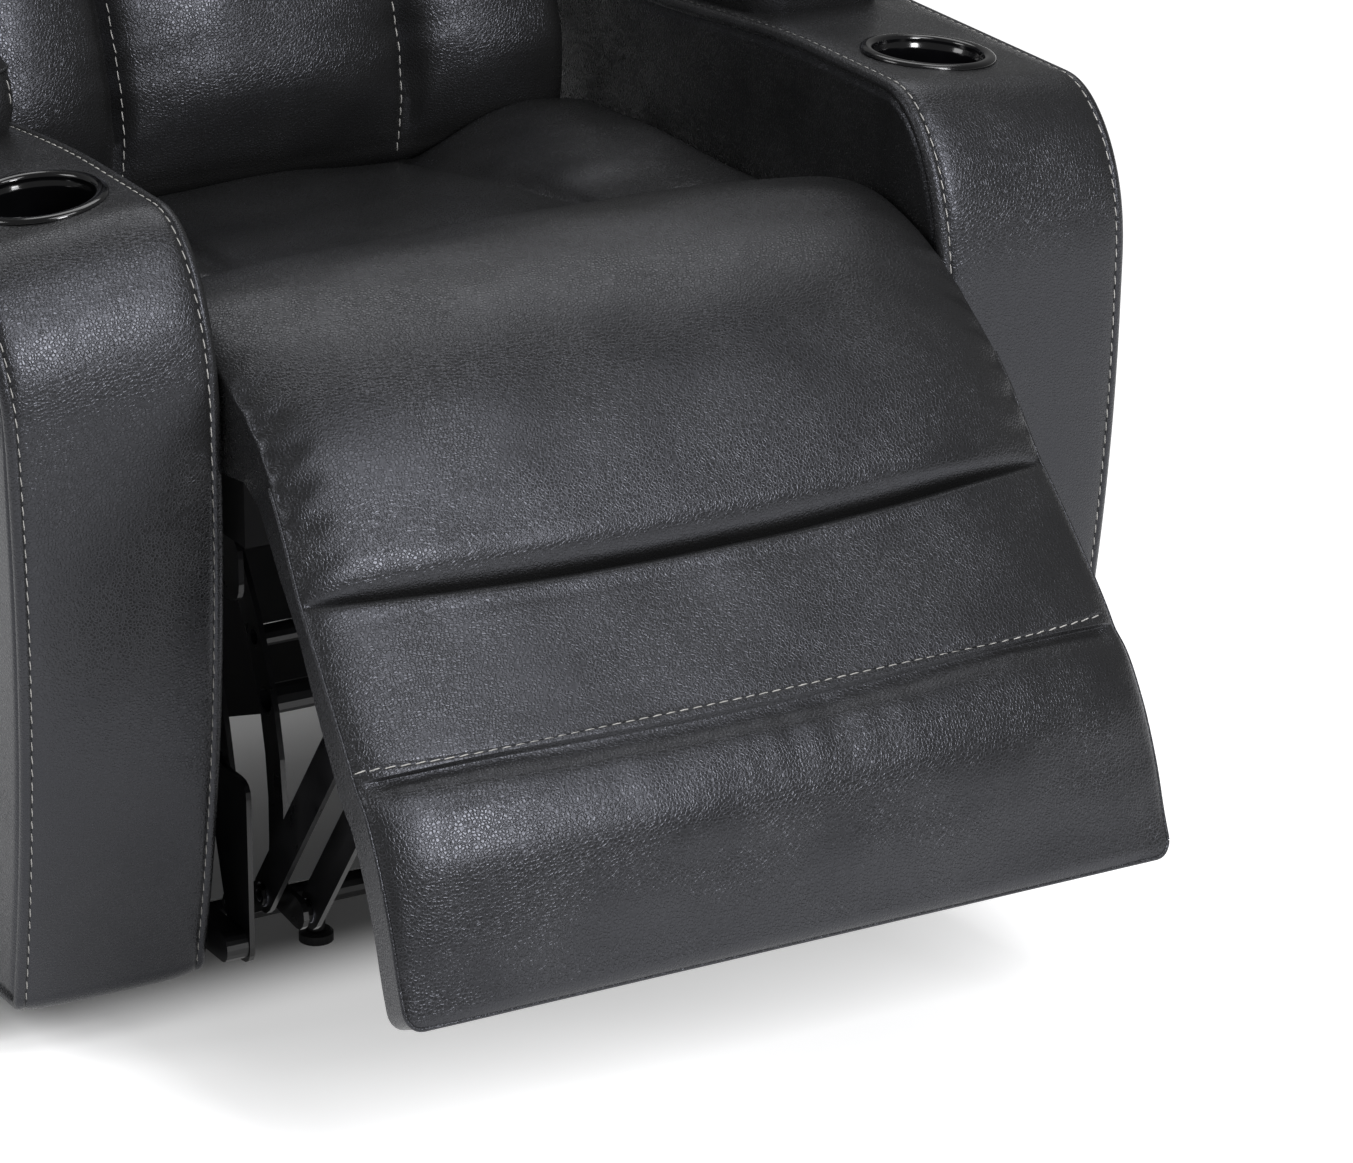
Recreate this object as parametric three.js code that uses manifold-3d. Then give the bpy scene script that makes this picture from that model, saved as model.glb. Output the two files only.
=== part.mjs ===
import * as THREE from "three";
import { mergeVertices } from "three/addons/utils/BufferGeometryUtils.js";
import Module from "manifold-3d";

const wasm = await Module();
wasm.setup();

// Side views are drawn as [forward, up]: forward is the part's -Y, up is its +Z, both in millimetres.

// Driving dimensions
const gap = 0.3; // between pieces that touch
const runningGap = 0.5; // between a pin and its hole
const overrun = 5; // how far a cutting tool reaches past what it cuts
const seatWidth = 576; // clear between the two arms
const seatHeight = 430; // underside of the seat cushion
const footrestSwing = { ahead: 26, height: 90 }; // the centre that the footrest swings about, from the seat box's front

const arm = {
  width: 163, rise: 179, bottom: 40, front: 435, rear: -320, noseLength: 84, noseHeight: 139,
  bulgeBelow: 178, bowDepth: 52, edge: 7, outerEdge: 6, outerFall: 16, taper: 15, rearRound: 30, heel: 12,
};
const armFrame = { inset: 16, topInset: 36, board: 12, outerInset: 29 };
const cup = { inward: 9.5, behind: 139, bore: 83, depth: 74, wall: 1.8, flange: 102, rim: 5.5 };
const bin = { width: 76, frontInset: 22, rearInset: 50, depth: 112, wall: 2, corner: 10, sunk: 14 };
const lid = { innerInset: 15, outerInset: 36, behindCup: 166, rearInset: 130, height: 56, crown: 12, edge: 12 };
const lidHinge = { radius: 3.2, leaf: 14, thickness: 1.5, endInset: 12 };

const plateThickness = 4;
const sidePlate = { inset: 30, depth: 46, frontInset: 16, rearReach: 14, legWidth: 30, frontFoot: 12, rearFoot: 26 };
const rail = { wide: 17, tall: 22, bottom: 49, frontReach: 2, rearReach: 62, wall: 2.5 };
const baseTube = { radius: 10, frontInset: 110, rearInset: 26, flangeTall: 62, flangeLong: 64, wall: 2, lip: 3 };
const glide = { radius: 13, neck: 7, shoe: 9, spread: 155 };

const linkStep = 10; // from the middle of one flat link to the middle of the next, inwards from the side plate
const rocker = { half: 12, bow: 30, behindSwing: 132, belowSeat: 84, footAhead: 70, footUp: 88 };
const strut = { half: 14, heelLess: 3, apart: [34, -4] };
const control = { half: 8, bow: 26, apart: [-32, -17] };
const pin = { radius: 5, head: 8, headTall: 3 };
const rivetSides = 8;
const torqueTube = { radius: 11, wall: 1.8, placeShare: 0.47 };
const upperBar = { half: 8, placeShare: 0.3, wall: 2 };

const seatBox = { lip: 2, front: 414, rear: -140, board: 22, tall: 58 };
const spring = { wire: 3.6, amplitude: 22, turns: 5, count: 4, spread: 116 };
const seatCushion = {
  sideGap: 4, frontInset: 158, rearInset: 18, rearThick: 22, frontThick: 69, bolster: 40, bolsterFront: 6, groove: 5,
  grooveRear: 115, grooveFront: 172, edge: 14, belly: 8, tuck: 14, tuckLong: 52, tuckStart: 18,
};
const roll = { sideGap: 2, radius: 85, toe: 60 };
const legRest = { lap: 6, reach: 287, height: 90, drop: 386, crown: 30 };
const pad = { back: 13, lap: 3, flare: 17, flareAhead: 40, drumEnd: [38, -84] };
const board = { thickness: 15, sideInset: 24, endInset: 12 };
const footBracket = { depth: 96, upper: 92, lower: 78 };

const backFrame = {
  sideInset: 8, post: 28, thickness: 30, height: 630, footAhead: 10, footBelow: 16, leanAngle: 16, railTall: 46,
};
const backSpring = { count: 3, spread: 120, amplitude: 24, turns: 6 };
const backCushion = {
  sideGap: 18, height: 394, start: 24, thickness: 114, crown: 18, groove: 12, seam: 115, edge: 16,
};
const headCushion = { sideGap: 20, above: 3, aboveFrame: 3, thickness: 98, crown: 14, edge: 16, groove: 9 };
const rearCover = { sideGap: 16, thickness: 26, edge: 9, start: 26, aboveFrame: 8 };
const reclineFrame = {
  hinge: -175, hingeBelow: 32, arm: 190, half: 15, setBack: 12, tubeBack: 30, tubeDown: 20, tubeRadius: 11,
};
const reclineBolt = { radius: 6, head: 11, headTall: 5, boss: 11 };

// Each linear drive lies level below the seat, its rod moves a pin along its line, and the pin pushes a slotted lever
const drive = {
  lineBelow: 130, barBehind: 288, barRadius: 12, barWall: 2, strap: 3.5, strapWide: 16, housingLong: 118, housingOver: 25,
  housingUnder: 49, housingWide: 54, tubeLong: 190, tubeRadius: 15, rodRadius: 8, rodLong: 215, forkWide: 28,
  forkTall: 22, forkDeep: 38, forkWeb: 14, cheek: 5, corner: 8,
};
// leastAngle and mostAngle are the limits of the swing, and slope is how far the pin moves in lever lengths per radian
const footrestDrive = {
  place: 70, reach: 477.6, thickness: 6, slotHalf: 8.2, margin: 6, leastAngle: -34, mostAngle: 56, slope: 1.18,
};
const reclineDrive = {
  place: -70, reach: 445.2, thickness: 6, slotHalf: 5.8, margin: 7, leastAngle: 0, mostAngle: 40, slope: 1.03,
};
const panel = { forward: 200, below: 43, long: 92, tall: 40, thickness: 5, corner: 8 };
const button = { radius: 11, tall: 6, travel: 2.5, apart: 42, dish: 1.2 };

const finish = {
  leather: { color: 0x3d3d3f, roughness: 0.5, metalness: 0 },
  steel: { color: 0x141416, roughness: 0.4, metalness: 0.6 },
  glossPlastic: { color: 0x0b0b0c, roughness: 0.12, metalness: 0 },
  mattPlastic: { color: 0x1b1b1d, roughness: 0.6, metalness: 0 },
  wood: { color: 0xb99465, roughness: 0.75, metalness: 0 },
  springSteel: { color: 0x70747a, roughness: 0.45, metalness: 0.9 },
};

// Places that follow from these sizes, across the seat and in side view
const armInner = seatWidth / 2;
const armOuter = armInner + arm.width;
const armTop = seatHeight + arm.rise;
const plateLow = armInner - sidePlate.inset;
const plateHigh = plateLow + plateThickness;
const [controlPlane, strutPlane, rockerPlane, secondPlane] = [1, 2, 3, 4].map((step) => plateLow - step * linkStep);
const boxHalf = plateHigh + seatBox.lip;
const boxBottom = seatHeight - spring.wire - 2 * gap - seatBox.tall;
const plateFront = seatBox.front - sidePlate.frontInset;
const plateRear = seatBox.rear - sidePlate.rearReach;
const [frontFoot, rearFoot] = [plateFront - sidePlate.frontFoot, plateRear + sidePlate.rearFoot];
const [railFront, railRear] = [plateFront + rail.frontReach, plateRear - rail.rearReach];
const footrestCentre = [seatBox.front + footrestSwing.ahead, seatHeight + footrestSwing.height];
const reclineCentre = [reclineFrame.hinge, seatHeight - reclineFrame.hingeBelow];
const rockerPivot = [footrestCentre[0] - rocker.behindSwing, seatHeight - rocker.belowSeat];
const rockerReach = [rocker.footAhead, rocker.footUp - rockerPivot[1]];
const cushionHalf = armInner - seatCushion.sideGap;
const cushionFront = seatBox.front - seatCushion.frontInset;
const cushionRear = seatBox.rear + seatCushion.rearInset;
const rollHalf = armInner - roll.sideGap;
const backHalf = plateLow - backFrame.sideInset;
const backFoot = [reclineCentre[0] + backFrame.footAhead, seatHeight - backFrame.footBelow];
const headStart = backCushion.start + backCushion.height + headCushion.above;
const driveLine = seatHeight - drive.lineBelow;

// Points and outlines
const plus = (a, b) => [a[0] + b[0], a[1] + b[1]];
const minus = (a, b) => a.map((value, i) => value - b[i]);
const times = (a, k) => [a[0] * k, a[1] * k];
const polar = (angle) => [Math.cos(THREE.MathUtils.degToRad(angle)), Math.sin(THREE.MathUtils.degToRad(angle))];
const unit = (a) => times(a, 1 / Math.hypot(...a));
const leftOf = (a) => [-a[1], a[0]];
const mix = (a, b, t) => plus(times(a, 1 - t), times(b, t));
const ramp = (t) => {
  const c = Math.min(1, Math.max(0, t));
  return c * c * (3 - 2 * c);
};

function shapeOf(points) {
  return new THREE.Shape(points.map(([u, v]) => new THREE.Vector2(u, v)));
}

// A polygon whose corners are rounded, each by at most half of its shorter side
function roundedShape(points, radius) {
  const shape = new THREE.Shape();
  points.forEach((corner, i) => {
    const before = points.at(i - 1);
    const after = points[(i + 1) % points.length];
    const reach = (other) => {
      const way = minus(other, corner);
      return plus(corner, times(unit(way), Math.min(radius, Math.hypot(...way) / 2)));
    };
    const [from, to] = [reach(before), reach(after)];
    if (i) shape.lineTo(...from);
    else shape.moveTo(...from);
    shape.quadraticCurveTo(...corner, ...to);
  });
  return shape;
}

// The outline of a flat link from a to b with round ends, bowed to its left at mid length
function linkShape(a, b, half, bow = 0) {
  const sideways = leftOf(unit(minus(b, a)));
  const steps = bow ? 8 : 1;
  const capSteps = 6;
  const centre = (t) => plus(mix(a, b, t), times(sideways, 4 * bow * t * (1 - t)));
  const tangent = (t) => unit(plus(minus(b, a), times(sideways, 4 * bow * (1 - 2 * t))));
  const rim = [];
  for (const [from, to, flip] of [[0, 1, -1], [1, 0, 1]]) {
    for (let i = 0; i <= steps; i++) {
      const t = from + ((to - from) * i) / steps;
      rim.push(plus(centre(t), times(leftOf(tangent(t)), flip * half)));
    }
    const heading = Math.atan2(...tangent(to).toReversed());
    for (let i = 1; i < capSteps; i++) {
      const turn = heading + (flip / 2 + i / capSteps) * Math.PI;
      rim.push(plus(centre(to), times([Math.cos(turn), Math.sin(turn)], half)));
    }
  }
  return shapeOf(rim);
}

// Solids
function solidOf(geometry) {
  const bare = geometry.clone();
  bare.deleteAttribute("normal");
  bare.deleteAttribute("uv");
  const merged = mergeVertices(bare, gap / 1000);
  const vertProperties = new Float32Array(merged.attributes.position.array);
  return new wasm.Manifold(new wasm.Mesh({ numProp: 3, vertProperties, triVerts: new Uint32Array(merged.index.array) }));
}

function geometryOf(solid) {
  const mesh = solid.getMesh();
  const geometry = new THREE.BufferGeometry();
  geometry.setAttribute("position", new THREE.BufferAttribute(new Float32Array(mesh.vertProperties), 3));
  geometry.setIndex(new THREE.BufferAttribute(new Uint32Array(mesh.triVerts), 1));
  const flat = geometry.toNonIndexed();
  flat.computeVertexNormals();
  return flat;
}

const asSolid = (piece) => (piece.isBufferGeometry ? solidOf(piece) : piece);
const cut = (body, ...tools) => tools.reduce((left, tool) => left.subtract(asSolid(tool)), asSolid(body));
const join = (...pieces) => pieces.map(asSolid).reduce((sum, piece) => sum.add(piece));

// A side-view outline carried across the seat from x = low to x = high
function across(shape, low, high, curveSegments = 5) {
  const geometry = new THREE.ExtrudeGeometry(shape, { depth: high - low, bevelEnabled: false, curveSegments });
  return geometry.applyMatrix4(new THREE.Matrix4().set(0, 0, -1, high, -1, 0, 0, 0, 0, 1, 0, 0, 0, 0, 0, 1));
}

// A plan outline raised from z = low to z = high
function raised(shape, low, high, curveSegments = 4) {
  const geometry = new THREE.ExtrudeGeometry(shape, { depth: high - low, bevelEnabled: false, curveSegments });
  return geometry.translate(0, 0, low);
}

function box(x0, x1, forward0, forward1, z0, z1) {
  const geometry = new THREE.BoxGeometry(x1 - x0, forward1 - forward0, z1 - z0);
  return geometry.translate((x0 + x1) / 2, -(forward0 + forward1) / 2, (z0 + z1) / 2);
}

// A round bar across the seat at a side-view point
function crossBar([forward, up], radius, low, high, sides = 12) {
  const geometry = new THREE.CylinderGeometry(radius, radius, high - low, sides);
  return geometry.rotateZ(-Math.PI / 2).translate((low + high) / 2, -forward, up);
}

// A turned piece: points are [radius, height], about the Z axis
function turned(points, segments) {
  return new THREE.LatheGeometry(points.map(([r, h]) => new THREE.Vector2(r, h)), segments).rotateX(Math.PI / 2);
}

// Fills a ring by joining its two sides rung by rung, from its first and last points to the middle of its list
function capFaces(ring) {
  const faces = [];
  let [i, j] = [0, ring.length - 1];
  while (j - i > 1)
    if (Math.hypot(...minus(ring[i + 1], ring[j])) < Math.hypot(...minus(ring[i], ring[j - 1]))) {
      faces.push([i, i + 1, j]);
      i++;
    } else {
      faces.push([i, j - 1, j]);
      j--;
    }
  return faces;
}

// A closed skin over rings of [x, forward, up] points; both ends are filled flat
function loft(rings) {
  const count = rings[0].length;
  const positions = rings.flat().flatMap(([x, forward, up]) => [x, -forward, up]);
  const index = [];
  for (let i = 0; i + 1 < rings.length; i++)
    for (let j = 0; j < count; j++) {
      const k = (j + 1) % count;
      const [a, b, c, d] = [i * count + j, i * count + k, (i + 1) * count + k, (i + 1) * count + j];
      index.push(a, b, c, a, c, d);
    }
  const last = (rings.length - 1) * count;
  index.push(...capFaces(rings[0]).flatMap((face) => face.toReversed()));
  index.push(...capFaces(rings.at(-1)).flat().map((v) => v + last));
  const corner = (v) => new THREE.Vector3(...positions.slice(3 * v, 3 * v + 3));
  let volume = 0;
  for (let i = 0; i < index.length; i += 3)
    volume += corner(index[i]).dot(corner(index[i + 1]).cross(corner(index[i + 2])));
  if (volume < 0) index.reverse();
  const geometry = new THREE.BufferGeometry();
  geometry.setAttribute("position", new THREE.Float32BufferAttribute(positions, 3));
  geometry.setIndex(index);
  return geometry;
}

// Moves every point of a closed side-view outline inwards by its own amount
function insetOutline(points, amount) {
  const area = points.reduce((sum, p, i) => {
    const q = points[(i + 1) % points.length];
    return sum + p[0] * q[1] - q[0] * p[1];
  }, 0);
  return points.map((p, i) => {
    const way = unit(minus(points[(i + 1) % points.length], points.at(i - 1)));
    const depth = typeof amount === "function" ? amount(i, p) : amount;
    return plus(p, times(leftOf(way), Math.sign(area) * depth));
  });
}

// The scene
const chair = new THREE.Group();
function add(name, piece, look, mirrored = false) {
  const mesh = new THREE.Mesh(piece.isBufferGeometry ? piece : geometryOf(piece), new THREE.MeshStandardMaterial(look));
  mesh.name = name;
  if (mirrored) mesh.scale.x = -1;
  chair.add(mesh);
  return mesh;
}
// The +X piece of a pair and its mirror image
function addPair(name, piece, look) {
  add(name + "_left", piece, look);
  add(name + "_right", piece, look, true);
}

// Arms
// Side outline of the arm: straight top, elliptical nose, and a front that bows out and draws in to the floor
function armOutline(inset = 0, topInset = inset) {
  const top = armTop - topInset;
  const rear = arm.rear + inset;
  const round = arm.rearRound;
  const points = [[rear + arm.heel, arm.bottom], [rear, arm.bottom + arm.heel]];
  for (let i = 0; i <= 3; i++) {
    const angle = (Math.PI / 2) * (i / 3);
    points.push([rear + round * (1 - Math.cos(angle)), top - round * (1 - Math.sin(angle))]);
  }
  const noseStart = arm.front - arm.noseLength;
  const noseFoot = armTop - arm.noseHeight;
  const bulgeUp = armTop - arm.bulgeBelow;
  for (let i = 0; i <= 9; i++) {
    const angle = (Math.PI / 2) * (1 - i / 9);
    const long = arm.noseLength - inset;
    const tall = arm.noseHeight - topInset;
    points.push([noseStart + long * Math.cos(angle), noseFoot + tall * Math.sin(angle)]);
  }
  const chin = arm.bottom + arm.heel;
  for (let i = 1; i <= 8; i++) {
    const up = noseFoot + ((chin - noseFoot) * i) / 8;
    const drawnIn = up < bulgeUp ? arm.bowDepth * ((bulgeUp - up) / (bulgeUp - arm.bottom)) ** 2 : 0;
    points.push([arm.front - inset - drawnIn, up]);
  }
  points.push([points.at(-1)[0] - arm.heel, arm.bottom]);
  return points;
}

// The top of the arm falls outwards
function armTopDrop(x) {
  return arm.outerFall * Math.max(0, (x - armInner) / arm.width);
}
const armTopAt = (x) => armTop - armTopDrop(x);
const armSlope = Math.atan2(arm.outerFall, arm.width);

function armBody() {
  const outline = armOutline();
  const stations = [
    [armInner, arm.edge], [armInner + arm.edge / 4, arm.edge / 3], [armInner + arm.edge, 0],
    [armInner + arm.width / 2, 0],
    [armOuter - arm.outerEdge, 0], [armOuter - arm.outerEdge / 4, arm.outerEdge / 3], [armOuter, arm.outerEdge],
  ];
  const heightOfArm = armTop - arm.bottom;
  return loft(stations.map(([x, inset]) => insetOutline(outline, (i, [, up]) => (up > arm.bottom + gap ? inset : 0))
    .map(([forward, up]) => {
      const high = ramp((up - (armTop - arm.noseHeight)) / arm.noseHeight);
      const low = (armTop - up) / heightOfArm;
      const outward = (x - armInner) / arm.width;
      return [x - arm.taper * low * outward, forward, up - armTopDrop(x) * high];
    })));
}

function armFrameBody() {
  const outer = armOutline(armFrame.inset, armFrame.topInset);
  const hollow = armOutline(armFrame.inset + armFrame.board, armFrame.topInset + armFrame.board);
  const floor = arm.bottom - overrun;
  const opened = hollow.map(([forward, up]) => [forward, up < arm.bottom + arm.heel + gap ? floor : up]);
  const [low, high] = [armInner + armFrame.inset, armOuter - armFrame.outerInset];
  return cut(across(shapeOf(outer), low, high), across(shapeOf(opened), low + armFrame.board, high - armFrame.board));
}

// The room that the frame takes out of the padded cover, open at the floor
function armFrameRoom() {
  const outline = armOutline(armFrame.inset - gap, armFrame.topInset - gap);
  const floor = arm.bottom - overrun;
  const opened = outline.map(([forward, up]) => [forward, up < arm.bottom + arm.heel + gap ? floor : up]);
  return across(shapeOf(opened), armInner + armFrame.inset - gap, armOuter - armFrame.outerInset + gap);
}

const cupAcross = armInner + arm.width / 2 - cup.inward;
const cupForward = arm.front - cup.behind;
function atCup(geometry) {
  return geometry.rotateY(armSlope).translate(cupAcross, -cupForward, armTopAt(cupAcross));
}
function cupHole() {
  const radius = cup.bore / 2 + cup.wall + gap;
  const geometry = new THREE.CylinderGeometry(radius, radius, 2 * (cup.depth + cup.wall + gap), 20).rotateX(Math.PI / 2);
  return atCup(geometry);
}
function cupHolder() {
  const inside = cup.bore / 2;
  const outside = inside + cup.wall;
  const flange = cup.flange / 2;
  const round = cup.rim / 2;
  const middle = (inside + flange) / 2;
  const foot = -cup.depth - cup.wall;
  return atCup(turned([
    [0, foot], [outside - round, foot], [outside, foot + round], [outside, gap], [flange - round / 2, gap],
    [flange, gap + round], [flange - round, cup.rim - round / 4], [middle, cup.rim],
    [inside + round / 2, cup.rim - round / 2], [inside, gap], [inside, -cup.depth + round],
    [inside - round, -cup.depth], [0, -cup.depth],
  ], 20));
}

const [lidLow, lidHigh] = [armInner + lid.innerInset, armOuter - lid.outerInset];
const [lidRear, lidFront] = [arm.rear + lid.rearInset, cupForward - lid.behindCup];
const binLow = cupAcross - bin.width / 2;
function binOutline(grow) {
  const [x0, x1] = [binLow - grow, binLow + bin.width + grow];
  const [y0, y1] = [bin.frontInset - lidFront - grow, grow - bin.rearInset - lidRear];
  return roundedShape([[x0, y0], [x1, y0], [x1, y1], [x0, y1]], bin.corner);
}
const binTop = armTop - bin.sunk;
function storageBin() {
  const shell = raised(binOutline(0), binTop - bin.depth, binTop);
  return cut(shell, raised(binOutline(-bin.wall), binTop - bin.depth + bin.wall, binTop + overrun));
}
function binRoom() {
  return raised(binOutline(gap), binTop - bin.depth - gap, armTop + overrun);
}
// Padded armrest over the storage bin: crowned, with its sides drawn in between the corners
function armPad() {
  const stations = [0, 0.04, 0.14, 0.5, 0.86, 0.96, 1].map((share) => [share, lidLow + share * (lidHigh - lidLow)]);
  const edges = [lid.edge, lid.edge / 3, 0, 0, 0, lid.edge / 3, lid.edge];
  return loft(stations.map(([share, x], i) => {
    const inset = edges[i];
    const crown = lid.crown * (1 - (2 * share - 1) ** 2);
    const base = armTopAt(x) + gap;
    const top = base + lid.height - inset;
    const [front, rear] = [lidFront - inset, lidRear + inset];
    const round = lid.edge;
    return [
      [x, rear + round / 2, base], [x, rear, base + round], [x, rear - crown / 4, base + lid.height / 2],
      [x, rear + round / 3, top - round], [x, rear + round * 1.5, top],
      [x, rear + (front - rear) / 4, top + crown * 0.8], [x, (front + rear) / 2, top + crown],
      [x, front - (front - rear) / 4, top + crown * 0.8], [x, front - round * 1.5, top],
      [x, front - round / 3, top - round], [x, front + crown / 4, base + lid.height / 2], [x, front, base + round],
      [x, front - round / 2, base],
    ];
  }));
}

// Long hinge at the outer edge of the pad: a barrel with a leaf on the arm's top
const lidAxis = lidHigh + lidHinge.radius + gap;
const lidAxisUp = armTopAt(lidAxis) + gap + lidHinge.radius;
function hingeStrip() {
  const [rear, front] = [lidRear + lidHinge.endInset, lidFront - lidHinge.endInset];
  const long = front - rear;
  const barrel = new THREE.CylinderGeometry(lidHinge.radius, lidHinge.radius, long, 10)
    .translate(lidAxis, -(front + rear) / 2, lidAxisUp);
  const leaf = new THREE.BoxGeometry(lidHinge.leaf, long, lidHinge.thickness)
    .translate(lidHinge.leaf / 2, -(front + rear) / 2, lidHinge.thickness / 2 + gap).rotateY(armSlope)
    .translate(lidAxis, 0, armTopAt(lidAxis));
  return join(barrel, leaf);
}

addPair("arm_frame", cut(armFrameBody(), cupHole(), binRoom()), finish.wood);
addPair("arm_cover", cut(armBody(), armFrameRoom(), cupHole(), binRoom()), finish.leather);
addPair("cup_holder", cupHolder(), finish.glossPlastic);
addPair("storage_bin", storageBin(), finish.mattPlastic);
addPair("lid_hinge", hingeStrip(), finish.steel);
addPair("arm_pad", armPad(), finish.leather);

// Base: rails, cross tubes with end flanges, glides
const railLow = plateHigh + gap;
const railTop = rail.bottom + rail.tall;
const railMiddle = rail.bottom + rail.tall / 2;
const tubeUp = rail.bottom - gap - baseTube.radius;

function baseRail() {
  const outline = roundedShape([[railRear, rail.bottom], [railFront, rail.bottom], [railFront, railTop],
    [railRear, railTop]], rail.tall / 2);
  const bar = across(outline, railLow, railLow + rail.wide);
  const bore = box(railLow + rail.wall, railLow + rail.wide - rail.wall, railRear - overrun, railFront - rail.tall,
    rail.bottom + rail.wall, railTop - rail.wall);
  return cut(bar, bore);
}

function crossTube(place) {
  const reach = armInner - gap - plateThickness;
  const centre = [place, tubeUp];
  const [rear, front] = [place - baseTube.flangeLong / 2, place + baseTube.flangeLong / 2];
  const [low, high] = [tubeUp - baseTube.radius - baseTube.lip, arm.bottom + baseTube.flangeTall];
  const flange = roundedShape([[rear, low], [front, low], [front, high], [rear, high]], baseTube.radius);
  const end = reach + plateThickness;
  const tube = crossBar(centre, baseTube.radius, -reach - gap, reach + gap, 14);
  const bore = crossBar(centre, baseTube.radius - baseTube.wall, -end - overrun, end + overrun, 10);
  return cut(join(tube, across(flange, reach, end), across(flange, -end, -reach)), bore);
}

function glideFoot(x, forward) {
  const top = tubeUp - baseTube.radius - gap;
  return turned([[0, 0], [glide.radius - gap, 0], [glide.radius, gap], [glide.radius, glide.shoe - glide.neck / 3],
    [glide.radius - glide.neck / 3, glide.shoe], [glide.neck, glide.shoe], [glide.neck, top], [0, top]], 20)
    .translate(x, -forward, 0);
}

addPair("base_rail", baseRail(), finish.steel);
const tubePlaces = [["front", railFront - baseTube.frontInset], ["rear", railRear + baseTube.rearInset]];
for (const [end, place] of tubePlaces) {
  add("base_" + end + "_tube", crossTube(place), finish.steel);
  for (const [side, x] of [["left", glide.spread], ["right", -glide.spread]])
    add("glide_" + end + "_" + side, glideFoot(x, place), finish.mattPlastic);
}

// Planes of the flat links, stacked inwards from the side plate
const planeOf = (middle) => [middle - plateThickness / 2, middle + plateThickness / 2];
const [rockerLow, rockerHigh] = planeOf(rockerPlane);
const [strutLow, strutHigh] = planeOf(strutPlane);
const [secondLow, secondHigh] = planeOf(secondPlane);
const [controlLow, controlHigh] = planeOf(controlPlane);

// A rivet that is part of one plate: a shaft through the partner's hole with a head beyond it
function rivet(place, from, partnerLow, partnerHigh) {
  const outward = partnerLow > from;
  const [end, headLow, headHigh] = outward
    ? [partnerHigh + gap, partnerHigh + gap, partnerHigh + gap + pin.headTall]
    : [partnerLow - gap, partnerLow - gap - pin.headTall, partnerLow - gap];
  const shaft = crossBar(place, pin.radius, Math.min(from, end), Math.max(from, end), rivetSides);
  const washer = outward ? [from - gap, partnerLow - gap] : [partnerHigh + gap, from + gap];
  const head = crossBar(place, pin.head, headLow, headHigh, rivetSides);
  return join(shaft, head, crossBar(place, pin.head, ...washer, rivetSides));
}

// Side plates: a top bar under the seat box, two legs down to the rails, a horn up to the recline hinge
const controlPivot = plus(rockerPivot, control.apart);
function sidePlateBody() {
  const top = boxBottom - gap;
  const low = top - sidePlate.depth;
  const deep = controlPivot[1] - control.half * 2;
  const leg = sidePlate.legWidth / 2;
  const foot = railMiddle;
  const outline = [
    [plateRear, top], [plateFront, top], [plateFront, low], [rockerPivot[0] + leg * 2, deep],
    [frontFoot - leg * 2.2, (deep + foot) / 2], [frontFoot + leg, (deep + foot) / 2],
    [frontFoot + leg, foot - leg], [frontFoot - leg, foot - leg],
    [frontFoot - leg * 3.6, (deep + foot) / 2], [controlPivot[0] - leg * 2, deep],
    [rearFoot + leg * 1.4, low], [rearFoot + leg, foot - leg],
    [rearFoot - leg, foot - leg], [plateRear - leg * 1.2, low],
    [reclineCentre[0] - leg * 1.3, reclineCentre[1]], [reclineCentre[0] - leg, reclineCentre[1] + leg],
    [reclineCentre[0] + leg * 0.4, reclineCentre[1] + leg],
  ];
  const holes = [
    crossBar(rockerPivot, pin.radius + runningGap, plateLow - overrun, plateHigh + overrun, 12),
    crossBar(reclineCentre, reclineBolt.radius + runningGap, plateLow - overrun, plateHigh + overrun, 14),
  ];
  const bolts = [[frontFoot, railMiddle], [rearFoot, railMiddle]].map((place) =>
    crossBar(place, pin.head, plateLow - pin.headTall, plateLow + gap, 10));
  const body = cut(across(roundedShape(outline, leg * 0.9), plateLow, plateHigh, 4), ...holes);
  return join(body, ...bolts, rivet(controlPivot, plateLow, controlLow, controlHigh));
}
addPair("side_plate", sidePlateBody(), finish.steel);

// A headed pin across the seat from x = low to x = high, with a spacer between two stations
function headedPin(place, low, high, spacerLow, spacerHigh, sizes = pin) {
  const shaft = crossBar(place, sizes.radius, low, high, 10);
  const heads = [crossBar(place, sizes.head, low - sizes.headTall, low, 10),
    crossBar(place, sizes.head, high, high + sizes.headTall, 10)];
  const spacer = crossBar(place, sizes.radius + (sizes.head - sizes.radius) / 2, spacerLow, spacerHigh, 10);
  return join(shaft, ...heads, spacer);
}
addPair("rocker_bolt", headedPin(rockerPivot, rockerLow - gap, plateHigh + gap, rockerHigh + gap, plateLow - gap),
  finish.springSteel);

// Footrest linkage. The rocker, the control link and the line from the swing centre to the footrest pin are equal and
// parallel, and so are the two struts and the line from the rocker pivot to the swing centre.
const rockerFoot = plus(rockerPivot, rockerReach);
const rockerFootSecond = plus(rockerFoot, strut.apart);
const controlFoot = plus(rockerFoot, control.apart);
const footrestPin = plus(footrestCentre, rockerReach);
const footrestPinSecond = plus(footrestPin, strut.apart);
const rockerPoint = (share) => {
  const sideways = times(leftOf(unit(rockerReach)), 4 * rocker.bow * share * (1 - share));
  return plus(plus(rockerPivot, times(rockerReach, share)), sideways);
};
const torquePlace = rockerPoint(torqueTube.placeShare);
const upperBarPlace = rockerPoint(upperBar.placeShare);

const pinHole = (place, low, high) => crossBar(place, pin.radius + runningGap, low - overrun, high + overrun, 10);

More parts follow.
